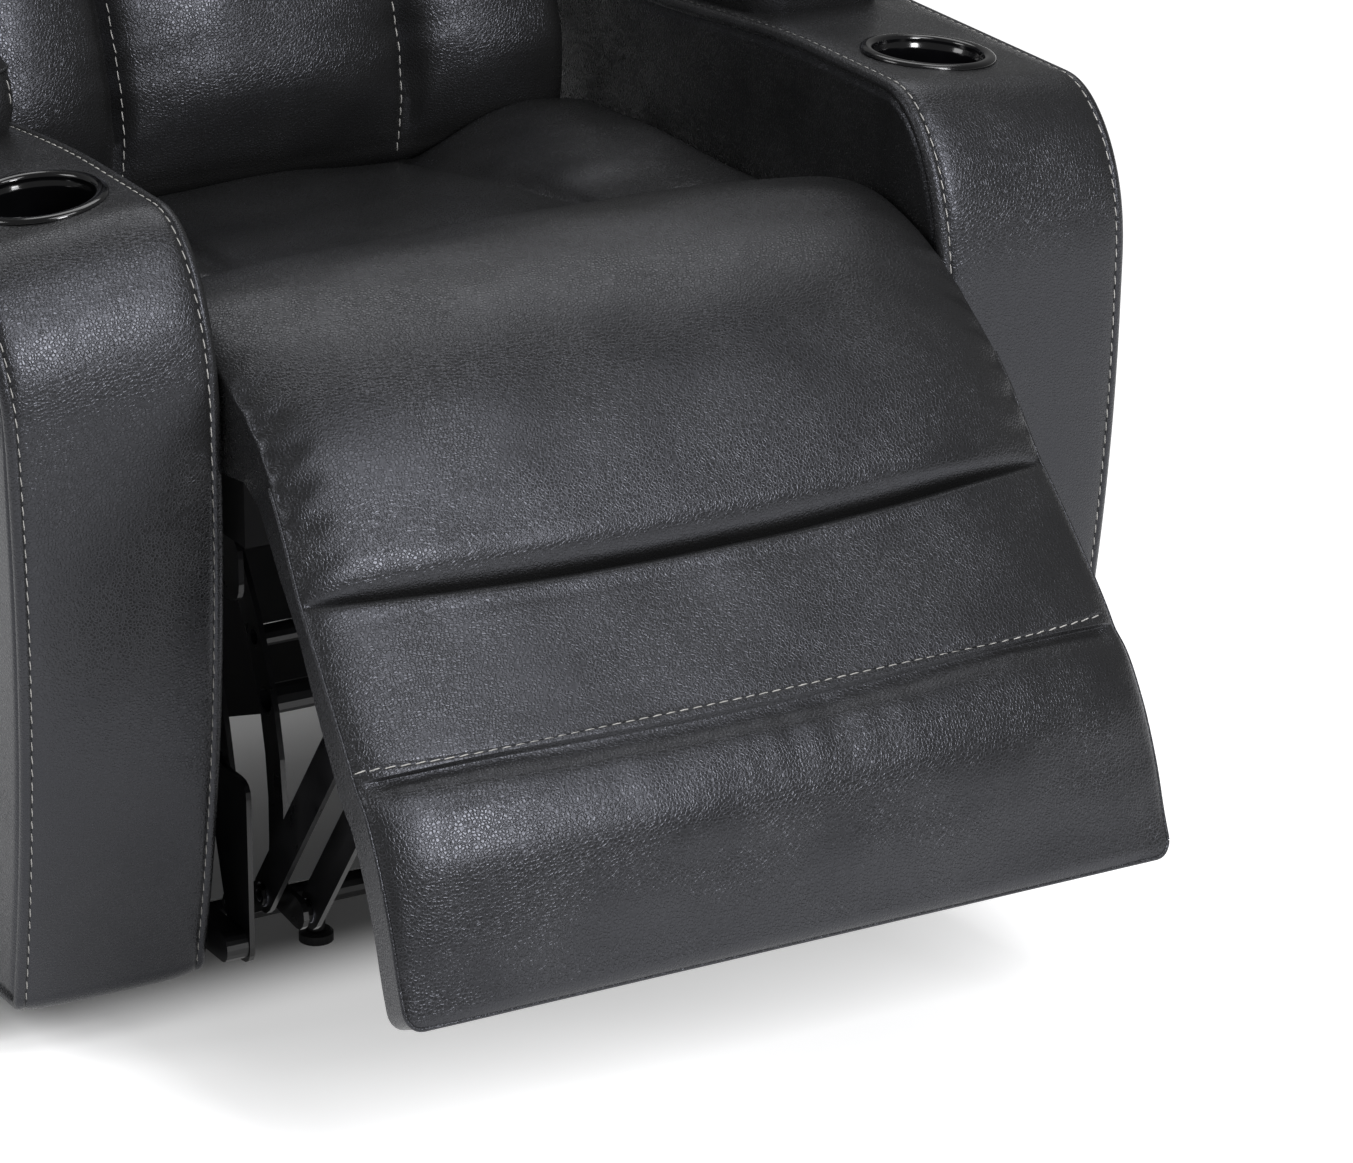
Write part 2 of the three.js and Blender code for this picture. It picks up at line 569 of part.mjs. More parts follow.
function rockerLink() {
  const link = across(linkShape(rockerPivot, rockerFoot, rocker.half, rocker.bow), rockerLow, rockerHigh);
  const toe = across(linkShape(rockerFoot, rockerFootSecond, rocker.half), rockerLow, rockerHigh);
  return join(cut(join(link, toe), pinHole(rockerPivot, rockerLow, rockerHigh),
    crossBar(torquePlace, torqueTube.radius + gap, rockerLow - overrun, rockerHigh + overrun),
    crossBar(upperBarPlace, upperBar.half + gap, rockerLow - overrun, rockerHigh + overrun)),
  rivet(rockerFoot, rockerHigh, strutLow, strutHigh), rivet(rockerFootSecond, rockerLow, secondLow, secondHigh));
}
function firstStrut() {
  const link = across(linkShape(rockerFoot, footrestPin, strut.half), strutLow, strutHigh);
  const heel = across(linkShape(controlFoot, rockerFoot, strut.half - strut.heelLess), strutLow, strutHigh);
  return join(cut(join(link, heel), pinHole(rockerFoot, strutLow, strutHigh),
    pinHole(footrestPin, strutLow, strutHigh)), rivet(controlFoot, strutHigh, controlLow, controlHigh));
}
function secondStrut() {
  const link = across(linkShape(rockerFootSecond, footrestPinSecond, strut.half), secondLow, secondHigh);
  return cut(link, pinHole(rockerFootSecond, secondLow, secondHigh), pinHole(footrestPinSecond, secondLow, secondHigh));
}
function controlLink() {
  const link = across(linkShape(controlPivot, controlFoot, control.half, control.bow), controlLow, controlHigh);
  return cut(link, pinHole(controlPivot, controlLow, controlHigh), pinHole(controlFoot, controlLow, controlHigh));
}
addPair("rocker_link", rockerLink(), finish.steel);
addPair("strut_first", firstStrut(), finish.steel);
addPair("strut_second", secondStrut(), finish.steel);
addPair("control_link", controlLink(), finish.steel);

// A slotted lever: the pin stays on the drive line while the lever turns about its pivot, so the slot runs along the
// lever from the nearest to the farthest distance that the pin reaches
function slottedLever(pivot, sizes, ...carriers) {
  const height = pivot[1] - driveLine;
  const middle = (sizes.leastAngle + sizes.mostAngle) / 2;
  const half = THREE.MathUtils.degToRad(sizes.mostAngle - sizes.leastAngle) / 2;
  const way = polar(-90 - middle);
  const nearest = plus(pivot, times(way, height - gap));
  const farthest = plus(pivot, times(way, height * Math.hypot(1, sizes.slope * half) + gap));
  const [low, high] = [sizes.place - sizes.thickness / 2, sizes.place + sizes.thickness / 2];
  const end = linkShape(nearest, farthest, sizes.slotHalf + sizes.margin);
  const arms = [nearest, ...carriers].slice(0, -1).map((from, i) => linkShape(from, carriers[i],
    sizes.slotHalf + sizes.margin / 2));
  const plate = join(...[end, ...arms].map((shape) => across(shape, low, high)));
  return cut(plate, across(linkShape(nearest, farthest, sizes.slotHalf), low - overrun, high + overrun));
}
// Where the pin of a drive stands when the chair is at rest
function drivePin(pivot, sizes) {
  const middle = THREE.MathUtils.degToRad(sizes.leastAngle + sizes.mostAngle) / 2;
  return [pivot[0] - (pivot[1] - driveLine) * sizes.slope * middle, driveLine];
}

const tubeReach = rockerHigh;
const tubeBore = (place, radius, sides = 12) => crossBar(place, radius, -tubeReach - overrun, tubeReach + overrun, sides);
add("torque_tube", cut(
  join(crossBar(torquePlace, torqueTube.radius, -tubeReach, tubeReach),
    slottedLever(rockerPivot, footrestDrive, upperBarPlace, torquePlace)),
  tubeBore(torquePlace, torqueTube.radius - torqueTube.wall), tubeBore(upperBarPlace, upperBar.half + gap),
), finish.steel);
add("rocker_upper_bar", cut(crossBar(upperBarPlace, upperBar.half, -tubeReach, tubeReach, 12),
  tubeBore(upperBarPlace, upperBar.half - upperBar.wall, 8)), finish.steel);

// Seat box, springs and cushions
function ringFrame(low, high, front, rear, wall) {
  const ring = shapeOf([[-boxHalf, -front], [boxHalf, -front], [boxHalf, -rear], [-boxHalf, -rear]]);
  ring.holes.push(new THREE.Path([
    [-boxHalf + wall, -front + wall], [-boxHalf + wall, -rear - wall],
    [boxHalf - wall, -rear - wall], [boxHalf - wall, -front + wall],
  ].map(([x, y]) => new THREE.Vector2(x, y))));
  return raised(ring, low, high);
}
add("seat_box", ringFrame(boxBottom, boxBottom + seatBox.tall, seatBox.front, seatBox.rear, seatBox.board), finish.wood);

// One zigzag wire in plan as a flat ribbon, from y = start to y = end, about x = 0
function zigzag(start, end, turns, amplitude, wire) {
  const path = [];
  const lead = (end - start) / (2 * turns);
  for (let i = 0; i <= 2 * turns; i++) {
    const y = start + lead * i;
    const x = i % 2 ? amplitude : -amplitude;
    if (i === 0 || i === 2 * turns) path.push([0, y]);
    else path.push([x, y - lead / 4], [x, y + lead / 4]);
  }
  const offset = (side) => path.map((p, i) => {
    const before = path[Math.max(0, i - 1)];
    const after = path[Math.min(path.length - 1, i + 1)];
    return plus(p, times(leftOf(unit(minus(after, before))), (side * wire) / 2));
  });
  return shapeOf([...offset(1), ...offset(-1).reverse()]);
}
function springDeck(sizes, start, end, wire) {
  const strips = [];
  for (let i = 0; i < sizes.count; i++) {
    const x = (i - (sizes.count - 1) / 2) * sizes.spread;
    strips.push(raised(zigzag(start, end, sizes.turns, sizes.amplitude, wire), 0, wire).translate(x, 0, 0));
  }
  const half = ((sizes.count - 1) / 2) * sizes.spread + sizes.amplitude;
  const shares = [0.004, 0.5, 0.996];
  const ties = shares.map((share) => {
    const y = start + (end - start) * share;
    return raised(shapeOf([[-half, y - wire / 2], [half, y - wire / 2], [half, y + wire / 2], [-half, y + wire / 2]]), 0,
      wire);
  });
  return join(...strips, ...ties);
}
const springUp = boxBottom + seatBox.tall + gap;
add("seat_springs", springDeck(spring, -seatBox.front + seatBox.board / 2, -seatBox.rear - seatBox.board / 2,
  spring.wire).translate(0, 0, springUp), finish.springSteel);

// Seat cushion: a sloping middle panel between two bolsters that rise towards the back, and a thin end that is tucked
// under the back cushion
function seatTop(u, share, forward) {
  const grooveAt = seatCushion.grooveRear + (seatCushion.grooveFront - seatCushion.grooveRear) * share;
  const outer = Math.max(0, 2 * Math.abs(u) - 1);
  const inner = Math.min(1, 2 * Math.abs(u));
  const x = Math.sign(u) * (grooveAt * inner + (cushionHalf - grooveAt) * outer);
  const panelTop = seatHeight + seatCushion.rearThick + (seatCushion.frontThick - seatCushion.rearThick) * share;
  const crown = seatCushion.belly * (1 - inner ** 2);
  const swell = Math.sin((Math.PI / 2) * Math.min(1, outer * 1.5)) * (1 - outer ** 4 / 4);
  const rise = (seatCushion.bolster + (seatCushion.bolsterFront - seatCushion.bolster) * share) * swell;
  const groove = seatCushion.groove * Math.exp(-(((inner + outer - 1) / 0.12) ** 2));
  const tuckEnd = seatHeight + seatCushion.tuck;
  const out = ramp((forward - cushionRear - seatCushion.tuckStart) / (seatCushion.tuckLong - seatCushion.tuckStart));
  return [x, tuckEnd + (panelTop + crown + rise - groove - tuckEnd) * out];
}
function seatCushionBody() {
  const halfShares = [0, 0.2, 0.42, 0.5, 0.56, 0.65, 0.8, 0.93, 0.985, 1];
  const rowShares = [0, 0.045, 0.09, 0.14, 0.22, 0.36, 0.52, 0.68, 0.82, 0.92, 0.97, 1];
  const { edge } = seatCushion;
  return loft([...halfShares.slice(1).map((share) => -share).reverse(), ...halfShares].map((u) => {
    const side = Math.abs(u) === 1 ? 1 : Math.abs(u) > 0.98 ? 1 / 3 : 0;
    const along = (share) => cushionRear + (cushionFront - cushionRear) * share + side * edge * (1 - 2 * share) / 3;
    const top = rowShares.map((share) => {
      const [x, up] = seatTop(u, share, along(share));
      return [x, along(share), up - edge * Math.max(0, 1 - (1 - share) * 10) ** 2 - side * (up - seatHeight) / 3];
    });
    const under = [1, 0.75, 0.5, 0.25, 0].map((share) => [seatTop(u, share, along(share))[0], along(share),
      seatHeight + side * seatCushion.tuck / 4]);
    return [...top, ...under];
  }));
}
add("seat_cushion", seatCushionBody(), finish.leather);

// The leg rest's outer line at its side seam, from the seat crease over the roll and down, with the crown that each
// point has at the middle of the seat. The first number is negative behind the swing centre, as a share of the way back
// to the seat cushion, and ahead of it a share of the reach; the others are shares of the drop and of the crown.
const legRestShares = [
  [-1, 0.0622, 0.267], [-0.7865, 0.0155, 0.667], [-0.5337, 0, 0.8], [-0.2809, 0.0207, 0.9], [0, 0.0699, 0.967],
  [0.1568, 0.1451, 1], [0.2787, 0.2306, 0.967], [0.3693, 0.3161, 0.667], [0.4216, 0.3653, 0.1],
  [0.4739, 0.4041, 0.5], [0.5784, 0.487, 0.667], [0.7108, 0.5984, 0.733], [0.7317, 0.6192, 0.667],
  [0.8153, 0.7098, 0.833], [0.9059, 0.8342, 0.833], [0.9686, 0.9378, 0.667], [1, 1, 0.333],
];
const rollLength = footrestCentre[0] - cushionFront - legRest.lap;
const legRestLine = legRestShares.map(([along, down, crown]) => [
  footrestCentre[0] + along * (along < 0 ? rollLength : legRest.reach),
  seatHeight + legRest.height - down * legRest.drop, crown * legRest.crown,
]);
const [padIndex, drumIndex, creaseIndex] = [4, 6, 8];
const footIndex = legRestLine.length - 1;
const padWay = unit(minus(legRestLine[footIndex].slice(0, 2), legRestLine[creaseIndex].slice(0, 2)));
const padOut = leftOf(padWay);
const behind = (point, depth) => minus(point, times(padOut, depth));
const creaseEnd = legRestLine[creaseIndex].slice(0, 2);
const padFoot = legRestLine[footIndex].slice(0, 2);

// The leg rest widens from the roll to its foot, most of it at the start
function legRestHalf(forward) {
  const start = footrestCentre[0] + pad.flareAhead;
  const along = Math.max(0, (forward - start) / (padFoot[0] - start));
  return rollHalf + pad.flare * (1 - Math.max(0, 1 - along) ** 1.6);
}

// Rings of a stretch of the leg rest, from one index of its line to another, closed by the given inner points
function legRestRings(from, to, innerPoints) {
  const line = legRestLine.slice(from, to + 1);
  const shares = [-1, -0.99, -0.955, -0.88, -0.66, -0.34, 0, 0.34, 0.66, 0.88, 0.955, 0.99, 1];
  return shares.map((share) => {
    const side = Math.abs(share) === 1 ? 1 : Math.abs(share) === 0.99 ? 0.35 : 0;
    const crownShare = Math.sqrt(1 - Math.abs(share) ** 3);
    const outer = line.map(([forward, up, crown], i) => {
      const before = line[Math.max(0, i - 1)];
      const after = line[Math.min(line.length - 1, i + 1)];
      const out = leftOf(unit(minus(after.slice(0, 2), before.slice(0, 2))));
      const place = plus([forward, up], times(out, crown * crownShare - side * seatCushion.edge * 0.5));
      return [legRestHalf(forward) * share, ...place];
    });
    const inner = innerPoints.map(([forward, up]) => [legRestHalf(forward) * share, forward, up + side * gap]);
    return [...outer, ...inner];
  });
}
const drumSides = 32;
const swingDrum = (radius) => crossBar(footrestCentre, radius, -seatWidth, seatWidth, drumSides);

// Front roll of the seat: ends in a drum about the swing centre
function seatRoll() {
  const front = seatBox.front;
  const drumFoot = footrestCentre[1] - roll.radius;
  const shape = loft(legRestRings(0, drumIndex, [[footrestCentre[0] + roll.toe, drumFoot], [front, seatHeight],
    [cushionFront + 2 * gap, seatHeight]]));
  const ahead = cut(box(-seatWidth, seatWidth, front, front + seatWidth, 0, armTop), swingDrum(roll.radius));
  return cut(shape, ahead);
}
// Padded face of the footrest, from the drum to the foot end
function footrestPad() {
  const back = [behind(padFoot, pad.back), behind(creaseEnd, pad.back), plus(footrestCentre, pad.drumEnd)];
  const shape = loft(legRestRings(padIndex, footIndex, back));
  const drum = swingDrum((roll.radius + gap) / Math.cos(Math.PI / drumSides));
  return cut(shape, drum, box(-seatWidth, seatWidth, 0, footrestCentre[0] + pad.lap, 0, armTop));
}
function footrestBoard() {
  const top = plus(behind(creaseEnd, pad.back + gap), times(padWay, board.endInset));
  const low = minus(behind(padFoot, pad.back + gap), times(padWay, board.endInset));
  const outline = [top, low, behind(low, board.thickness), behind(top, board.thickness)];
  const half = rollHalf - board.sideInset;
  return across(shapeOf(outline), -half, half);
}
const boardBack = pad.back + gap + board.thickness;
function footrestBracket() {
  const start = behind(creaseEnd, boardBack + gap);
  const along = (length, depth) => behind(plus(start, times(padWay, length)), depth);
  const pinUp = footrestPin;
  const pinDown = footrestPinSecond;
  const [low, high] = planeOf(rockerPlane);
  const outline = [along(board.endInset, 0), along(footBracket.upper + footBracket.lower + footBracket.depth, 0),
    along(footBracket.upper + footBracket.lower + footBracket.depth, plateThickness * 3),
    plus(pinDown, times(padWay, strut.half)), minus(plus(pinDown, times(padWay, strut.half)), times(padOut, strut.half)),
    minus(pinUp, times(padOut, strut.half)), minus(minus(pinUp, times(padOut, strut.half)), times(padWay, strut.half)),
    along(board.endInset, plateThickness * 4)];
  const web = across(roundedShape(outline, strut.half), low, high, 4);
  const flange = across(shapeOf([outline[0], outline[1], along(footBracket.upper + footBracket.lower
    + footBracket.depth, plateThickness), along(board.endInset, plateThickness)]), low - 5 * plateThickness, high);
  return join(web, flange, rivet(pinUp, high, strutLow, strutHigh), rivet(pinDown, low, secondLow, secondHigh));
}
add("seat_roll", seatRoll(), finish.leather);
add("footrest_pad", footrestPad(), finish.leather);
add("footrest_board", footrestBoard(), finish.wood);
addPair("footrest_bracket", footrestBracket(), finish.steel);

// Back: everything is drawn along the frame's own line, up from its foot and out towards the sitter
const backUp = polar(90 + backFrame.leanAngle);
const backOut = leftOf(times(backUp, -1));
const onBack = (up, out) => plus(plus(backFoot, times(backUp, up)), times(backOut, out));
function backFrameBody() {
  const t = -backFrame.thickness;
  const outline = [onBack(0, 0), onBack(backFrame.height, 0), onBack(backFrame.height, t), onBack(0, t)];
  const reach = overrun * 2;
  const window = [onBack(backFrame.railTall, reach), onBack(backFrame.height - backFrame.railTall, reach),
    onBack(backFrame.height - backFrame.railTall, t - reach), onBack(backFrame.railTall, t - reach)];
  const inner = backHalf - backFrame.post;
  return cut(across(shapeOf(outline), -backHalf, backHalf), across(shapeOf(window), -inner, inner));
}
add("back_frame", backFrameBody(), finish.wood);

// Turns a deck drawn in plan, with y up the back, to lie on the front of the back frame
function onBackPlane(solid, out) {
  const [forward, up] = onBack(0, out);
  const [upForward, upUp] = backUp;
  const [outForward, outUp] = backOut;
  const geometry = geometryOf(solid);
  return geometry.applyMatrix4(new THREE.Matrix4().set(
    1, 0, 0, 0, 0, -upForward, -outForward, -forward, 0, upUp, outUp, up, 0, 0, 0, 1));
}
add("back_springs", onBackPlane(springDeck(backSpring, backFrame.railTall / 2,
  backFrame.height - backFrame.railTall / 2, spring.wire), gap), finish.springSteel);

// A padded back cushion in three panels: rings run across the seat, seams at the two channels
function backPad(sizes, start, height, profile) {
  const { seam } = backCushion;
  const { edge } = sizes;
  const half = armInner - sizes.sideGap;
  const xs = [];
  for (const share of [-1, -0.985, -0.94, -0.8, -0.6, -0.35, -0.08]) xs.push(seam + (half - seam) * -share);
  xs.push(seam, seam * 0.92, seam * 0.6, 0, -seam * 0.6, -seam * 0.92);
  const stations = [...xs, ...xs.slice(0, 8).map((x) => -x).reverse()];
  return loft(stations.map((x) => {
    const away = Math.abs(x);
    const panel = away < seam ? 1 - (away / seam) ** 2 : 1 - ((away - (seam + half) / 2) / ((half - seam) / 2)) ** 2;
    const side = away > half - gap ? 1 : away > half - edge / 4 ? 0.4 : away > half - edge ? 0.1 : 0;
    const channel = sizes.groove * Math.exp(-(((away - seam) / (seam / 9)) ** 2));
    const front = profile.map(([upShare, outShare, crownShare], i) => {
      const out = sizes.thickness * outShare + (sizes.crown * Math.max(0, panel) - channel) * crownShare;
      const up = start + height * upShare;
      const tuck = side * edge;
      const middle = start + height / 2;
      return onBack(up - Math.sign(up - middle) * tuck * 0.4, Math.max(out - tuck, gap * 4 + spring.wire + edge * 0.4));
    });
    const rear = [0.97, 0.5, 0.03].map((share) => onBack(start + height * share, spring.wire + 2 * gap));
    return [...front, ...rear].map((point) => [x, ...point]);
  }));
}
const lumbarShares = [
  [0, 0.3, 0.2], [0.01, 0.64, 0.5], [0.09, 0.8, 0.8], [0.19, 0.92, 1], [0.3, 1.0, 1], [0.46, 1.03, 1], [0.62, 1.02, 1],
  [0.78, 0.99, 1], [0.9, 0.88, 0.9], [0.97, 0.66, 0.5], [1, 0.3, 0.2],
];
const headShares = [
  [0, 0.3, 0.2], [0.03, 0.66, 0.5], [0.12, 0.92, 0.9], [0.32, 1.08, 1], [0.55, 1.1, 1], [0.75, 1.0, 1], [0.9, 0.78, 0.8],
  [0.98, 0.5, 0.5], [1, 0.26, 0.2],
];
add("back_cushion", backPad(backCushion, backCushion.start, backCushion.height, lumbarShares), finish.leather);
const headHeight = backFrame.height + headCushion.aboveFrame - headStart;
add("head_cushion", backPad(headCushion, headStart, headHeight, headShares), finish.leather);

function rearCoverBody() {
  const { edge, thickness, start } = rearCover;
  const half = armInner - rearCover.sideGap;
  const height = backFrame.height + rearCover.aboveFrame - start;
  const front = -backFrame.thickness - gap;
  const outline = (inset) => [
    onBack(start + inset, front), onBack(start + inset, front - thickness / 2),
    onBack(start + edge + inset, front - thickness + inset), onBack(start + height / 2, front - thickness - edge + inset),
    onBack(start + height - edge - inset, front - thickness + inset), onBack(start + height - inset, front - thickness / 2),
    onBack(start + height - inset, front),
  ];
  const xs = [[-1, edge], [-0.99, edge / 3], [-0.96, 0], [-0.5, 0], [0, 0], [0.5, 0], [0.96, 0], [0.99, edge / 3],
    [1, edge]];
  return loft(xs.map(([share, inset]) => outline(inset).map((point) => [half * share, ...point])));
}
add("rear_cover", rearCoverBody(), finish.leather);

// Steel carrier of the back: hinge arms outside the posts, a cross tube and the drive lever
function reclineCarrier() {
  const low = backHalf + gap;
  const high = low + plateThickness;
  const armEnd = onBack(reclineFrame.arm, -reclineFrame.setBack);
  const tubeAt = [reclineCentre[0] - reclineFrame.tubeBack, reclineCentre[1] - reclineFrame.tubeDown];
  const armShape = linkShape(reclineCentre, armEnd, reclineFrame.half);
  const web = linkShape(reclineCentre, tubeAt, reclineFrame.half);
  const hole = crossBar(reclineCentre, reclineBolt.radius + runningGap, -seatWidth, seatWidth, 14);
  const plates = [[low, high], [-high, -low]].flatMap(([a, b]) => [across(armShape, a, b), across(web, a, b)]);
  const tube = crossBar(tubeAt, reclineFrame.tubeRadius, -low - gap, low + gap);
  return join(cut(join(...plates), hole), tube, slottedLever(reclineCentre, reclineDrive, tubeAt));
}
add("recline_carrier", reclineCarrier(), finish.steel);
addPair("recline_bolt", headedPin(reclineCentre, backHalf, plateHigh + gap, backHalf + plateThickness + 2 * gap,
  plateLow - gap, { radius: reclineBolt.radius, head: reclineBolt.boss, headTall: reclineBolt.headTall }),
finish.springSteel);

// Cross bar between the side plates, with a web and a strap round the tube of each drive
const driveBarPlace = rockerPivot[0] - drive.barBehind;
const driveBarUp = boxBottom - gap - sidePlate.depth / 2;
function driveBar() {
  const centre = [driveBarPlace, driveBarUp];
  const reach = plateLow - gap;
  const bar = cut(crossBar(centre, drive.barRadius, -reach, reach, 14),
    crossBar(centre, drive.barRadius - drive.barWall, -reach - overrun, reach + overrun, 10));
  const half = drive.strapWide / 2;
  const bore = drive.tubeRadius + gap;
  const straps = [footrestDrive, reclineDrive].map(({ place }) => {
    const ring = new THREE.CylinderGeometry(bore + drive.strap, bore + drive.strap, drive.strapWide, 18);
    const web = box(place - half, place + half, driveBarPlace - drive.strap, driveBarPlace + drive.strap,
      driveLine + drive.tubeRadius, driveBarUp - drive.barRadius + drive.barWall / 2);
    const hole = new THREE.CylinderGeometry(bore, bore, 2 * drive.strapWide, 18);
    return cut(join(ring.translate(place, -driveBarPlace, driveLine), web), hole.translate(place, -driveBarPlace, driveLine));
  });
  return join(bar, ...straps);
}
add("drive_bar", driveBar(), finish.steel);

// A round bar along the drive line
function driveRound(radius, from, to, sides = 14) {
  return new THREE.CylinderGeometry(radius, radius, to - from, sides).translate(0, -(from + to) / 2, 0);
}
function driveMotor() {
  const { housingLong, housingOver, housingUnder, housingWide, tubeRadius, corner } = drive;
  const shell = roundedShape([[0, -housingUnder], [housingLong, -housingUnder], [housingLong, housingOver],
    [0, housingOver]], corner);
  const end = housingLong + drive.tubeLong;
  const solid = join(across(shell, -housingWide / 2, housingWide / 2, 4),
    driveRound(tubeRadius, housingLong - overrun, end, 18));
  return cut(solid, driveRound(drive.rodRadius + runningGap, housingLong / 4, end + overrun));
}
// The rod ends in a fork whose pin, at `reach` along the line, goes through the lever's slot
function driveRod(reach) {
  const half = drive.forkWide / 2;
  const tall = drive.forkTall / 2;
  const base = reach - drive.forkDeep - drive.forkWeb;
  const nose = reach + tall;
  const fork = across(roundedShape([[base, -tall], [nose, -tall], [nose, tall], [base, tall]], tall), -half, half, 4);
  const slot = box(drive.cheek - half, half - drive.cheek, reach - drive.forkDeep, nose + overrun, -2 * tall, 2 * tall);
  const bolt = crossBar([reach, 0], pin.radius, -half - pin.headTall, half + pin.headTall, 12);
  return join(cut(fork, slot), bolt, driveRound(drive.rodRadius, base + overrun - drive.rodLong, base + overrun));
}
function addDrive(name, pivot, sizes) {
  const forward = pivot[0] > driveBarPlace;
  const rear = drivePin(pivot, sizes)[0] - (forward ? sizes.reach : -sizes.reach);
  const lay = (piece) => {
    const geometry = geometryOf(piece);
    return (forward ? geometry : geometry.rotateZ(Math.PI)).translate(sizes.place, -rear, driveLine);
  };
  add(name + "_motor", lay(driveMotor()), finish.mattPlastic);
  add(name + "_rod", lay(driveRod(sizes.reach)), finish.springSteel);
}
addDrive("footrest", rockerPivot, footrestDrive);
addDrive("recline", reclineCentre, reclineDrive);

// Control plate with its two push buttons on the inner face of the sitter's right arm
const panelUp = armTop - panel.below;
const panelFace = -armInner + gap + panel.thickness;
const buttonPlaces = [-0.5, 0.5].map((share) => [panel.forward + share * button.apart, panelUp]);
function controlPlate() {
  const [f0, f1] = [panel.forward - panel.long / 2, panel.forward + panel.long / 2];
  const [z0, z1] = [panelUp - panel.tall / 2, panelUp + panel.tall / 2];
  const plate = across(roundedShape([[f0, z0], [f1, z0], [f1, z1], [f0, z1]], panel.corner), -armInner + gap, panelFace);
  const wells = buttonPlaces.map((place) => crossBar(place, button.radius + runningGap, -armInner + gap + gap * 3,
    panelFace + overrun, 20));
  return cut(plate, ...wells);
}
function pushButton([forward, up]) {
  const foot = -armInner + gap + gap * 3 + button.travel + gap;
  const r = button.radius;
  return turned([[0, 0], [r, 0], [r, button.tall - button.dish], [r - button.dish, button.tall],
    [r * 0.6, button.tall], [0, button.tall - button.dish]], 20).rotateY(Math.PI / 2).translate(foot, -forward, up);
}
add("control_plate", controlPlate(), finish.mattPlastic);
["open", "close"].forEach((name, i) => add("button_" + name, pushButton(buttonPlaces[i]), finish.glossPlastic));

// The chair stands on the floor, with the middle of its floor area at the origin
const bounds = new THREE.Box3().setFromObject(chair);
const centre = bounds.getCenter(new THREE.Vector3());
chair.position.set(-centre.x, -centre.y, -bounds.min.z);
const recliner = new THREE.Group();
recliner.add(chair);

export default recliner;
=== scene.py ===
import math

import bmesh
import bpy
import numpy as np
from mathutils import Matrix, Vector


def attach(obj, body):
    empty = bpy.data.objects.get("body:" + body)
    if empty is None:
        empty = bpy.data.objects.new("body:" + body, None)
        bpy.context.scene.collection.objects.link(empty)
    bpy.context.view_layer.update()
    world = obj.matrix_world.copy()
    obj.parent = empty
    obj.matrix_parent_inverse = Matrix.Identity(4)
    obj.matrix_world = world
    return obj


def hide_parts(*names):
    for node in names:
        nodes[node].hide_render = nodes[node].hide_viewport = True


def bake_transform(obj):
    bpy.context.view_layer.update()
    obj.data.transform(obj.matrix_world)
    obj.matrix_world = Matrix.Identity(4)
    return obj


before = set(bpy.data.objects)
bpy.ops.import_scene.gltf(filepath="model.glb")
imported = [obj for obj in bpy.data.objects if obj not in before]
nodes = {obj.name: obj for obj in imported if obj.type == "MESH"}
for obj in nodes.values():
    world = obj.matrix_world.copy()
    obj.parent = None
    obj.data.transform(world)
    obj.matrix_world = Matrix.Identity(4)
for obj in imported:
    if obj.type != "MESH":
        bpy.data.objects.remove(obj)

scene = bpy.context.scene
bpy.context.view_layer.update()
print("frame loaded:", len(nodes), "solids")

# The camera: placed from the picture's own perspective, with a long lens and no shift
view = {"place": (-2.086, -4.054034, 1.953), "heading": 29.6, "down": 20.9, "focalPixels": 6500, "pictureWide": 1353,
        "sensor": 36, "sight": 40}
cameraData = bpy.data.cameras.new("camera")
cameraData.sensor_width = view["sensor"]
cameraData.lens = view["focalPixels"] * view["sensor"] / view["pictureWide"]
cameraData.clip_end = view["sight"]
camera = bpy.data.objects.new("camera", cameraData)
camera.location = view["place"]
camera.rotation_euler = (math.radians(90 - view["down"]), 0, math.radians(-view["heading"]))
scene.collection.objects.link(camera)
scene.camera = camera

# Small tools

frameShift = 171.9645  # millimetres between the side view's zero and the middle of the floor area
bothSides = (("left", 1), ("right", -1))  # the sitter's left is +X


def rowPoints(x, forward, up):
    # side-view millimetres (across, forward, up) to metres in the row frame
    x, forward, up = np.broadcast_arrays(x, forward, up)
    return np.stack([x, frameShift - forward, up], axis=-1) / 1000


def ease(low, high, value):
    # 0 below low, 1 above high, and a smooth S between
    t = np.clip((np.asarray(value, float) - low) / (high - low), 0, 1)
    return t * t * (3 - 2 * t)


def bump(centre, width, value):
    # a bell of height 1 about the centre
    return np.exp(-(((np.asarray(value, float) - centre) / width) ** 2))


def roundOff(share, power=2):
    # how deep a rounded edge lies: 0 at share 0 and 1 at share 1, where it stands upright
    return 1 - np.sqrt(1 - share ** power)


def unit(vectors):
    return vectors / np.linalg.norm(vectors, axis=-1, keepdims=True).clip(1e-12)


def curveThrough(knots, values, at):
    # cubic through the knots: each slope is the mean of its two sides, and level where the values turn
    knots, values, at = (np.asarray(a, float) for a in (knots, values, at))
    gaps = np.diff(knots)
    steps = np.diff(values) / gaps
    inside = (steps[:-1] * gaps[1:] + steps[1:] * gaps[:-1]) / (gaps[1:] + gaps[:-1])
    inside[steps[:-1] * steps[1:] <= 0] = 0
    slopes = np.concatenate([steps[:1], inside, steps[-1:]])
    i = np.clip(np.searchsorted(knots, at, side="right") - 1, 0, len(gaps) - 1)
    t = np.clip((at - knots[i]) / gaps[i], 0, 1)
    a, b = values[i], values[i + 1]
    return (a * (1 + 2 * t) * (1 - t) ** 2 + b * t * t * (3 - 2 * t)
            + gaps[i] * (slopes[i] * t * (1 - t) ** 2 - slopes[i + 1] * t * t * (1 - t)))


def resample(points, at):
    # points at given shares of a polyline's length in its first two columns, with all its columns
    along = np.concatenate([[0], np.cumsum(np.linalg.norm(np.diff(points[:, :2], axis=0), axis=1))])
    return np.stack([np.interp(np.asarray(at) * along[-1], along, column) for column in points.T], axis=-1)


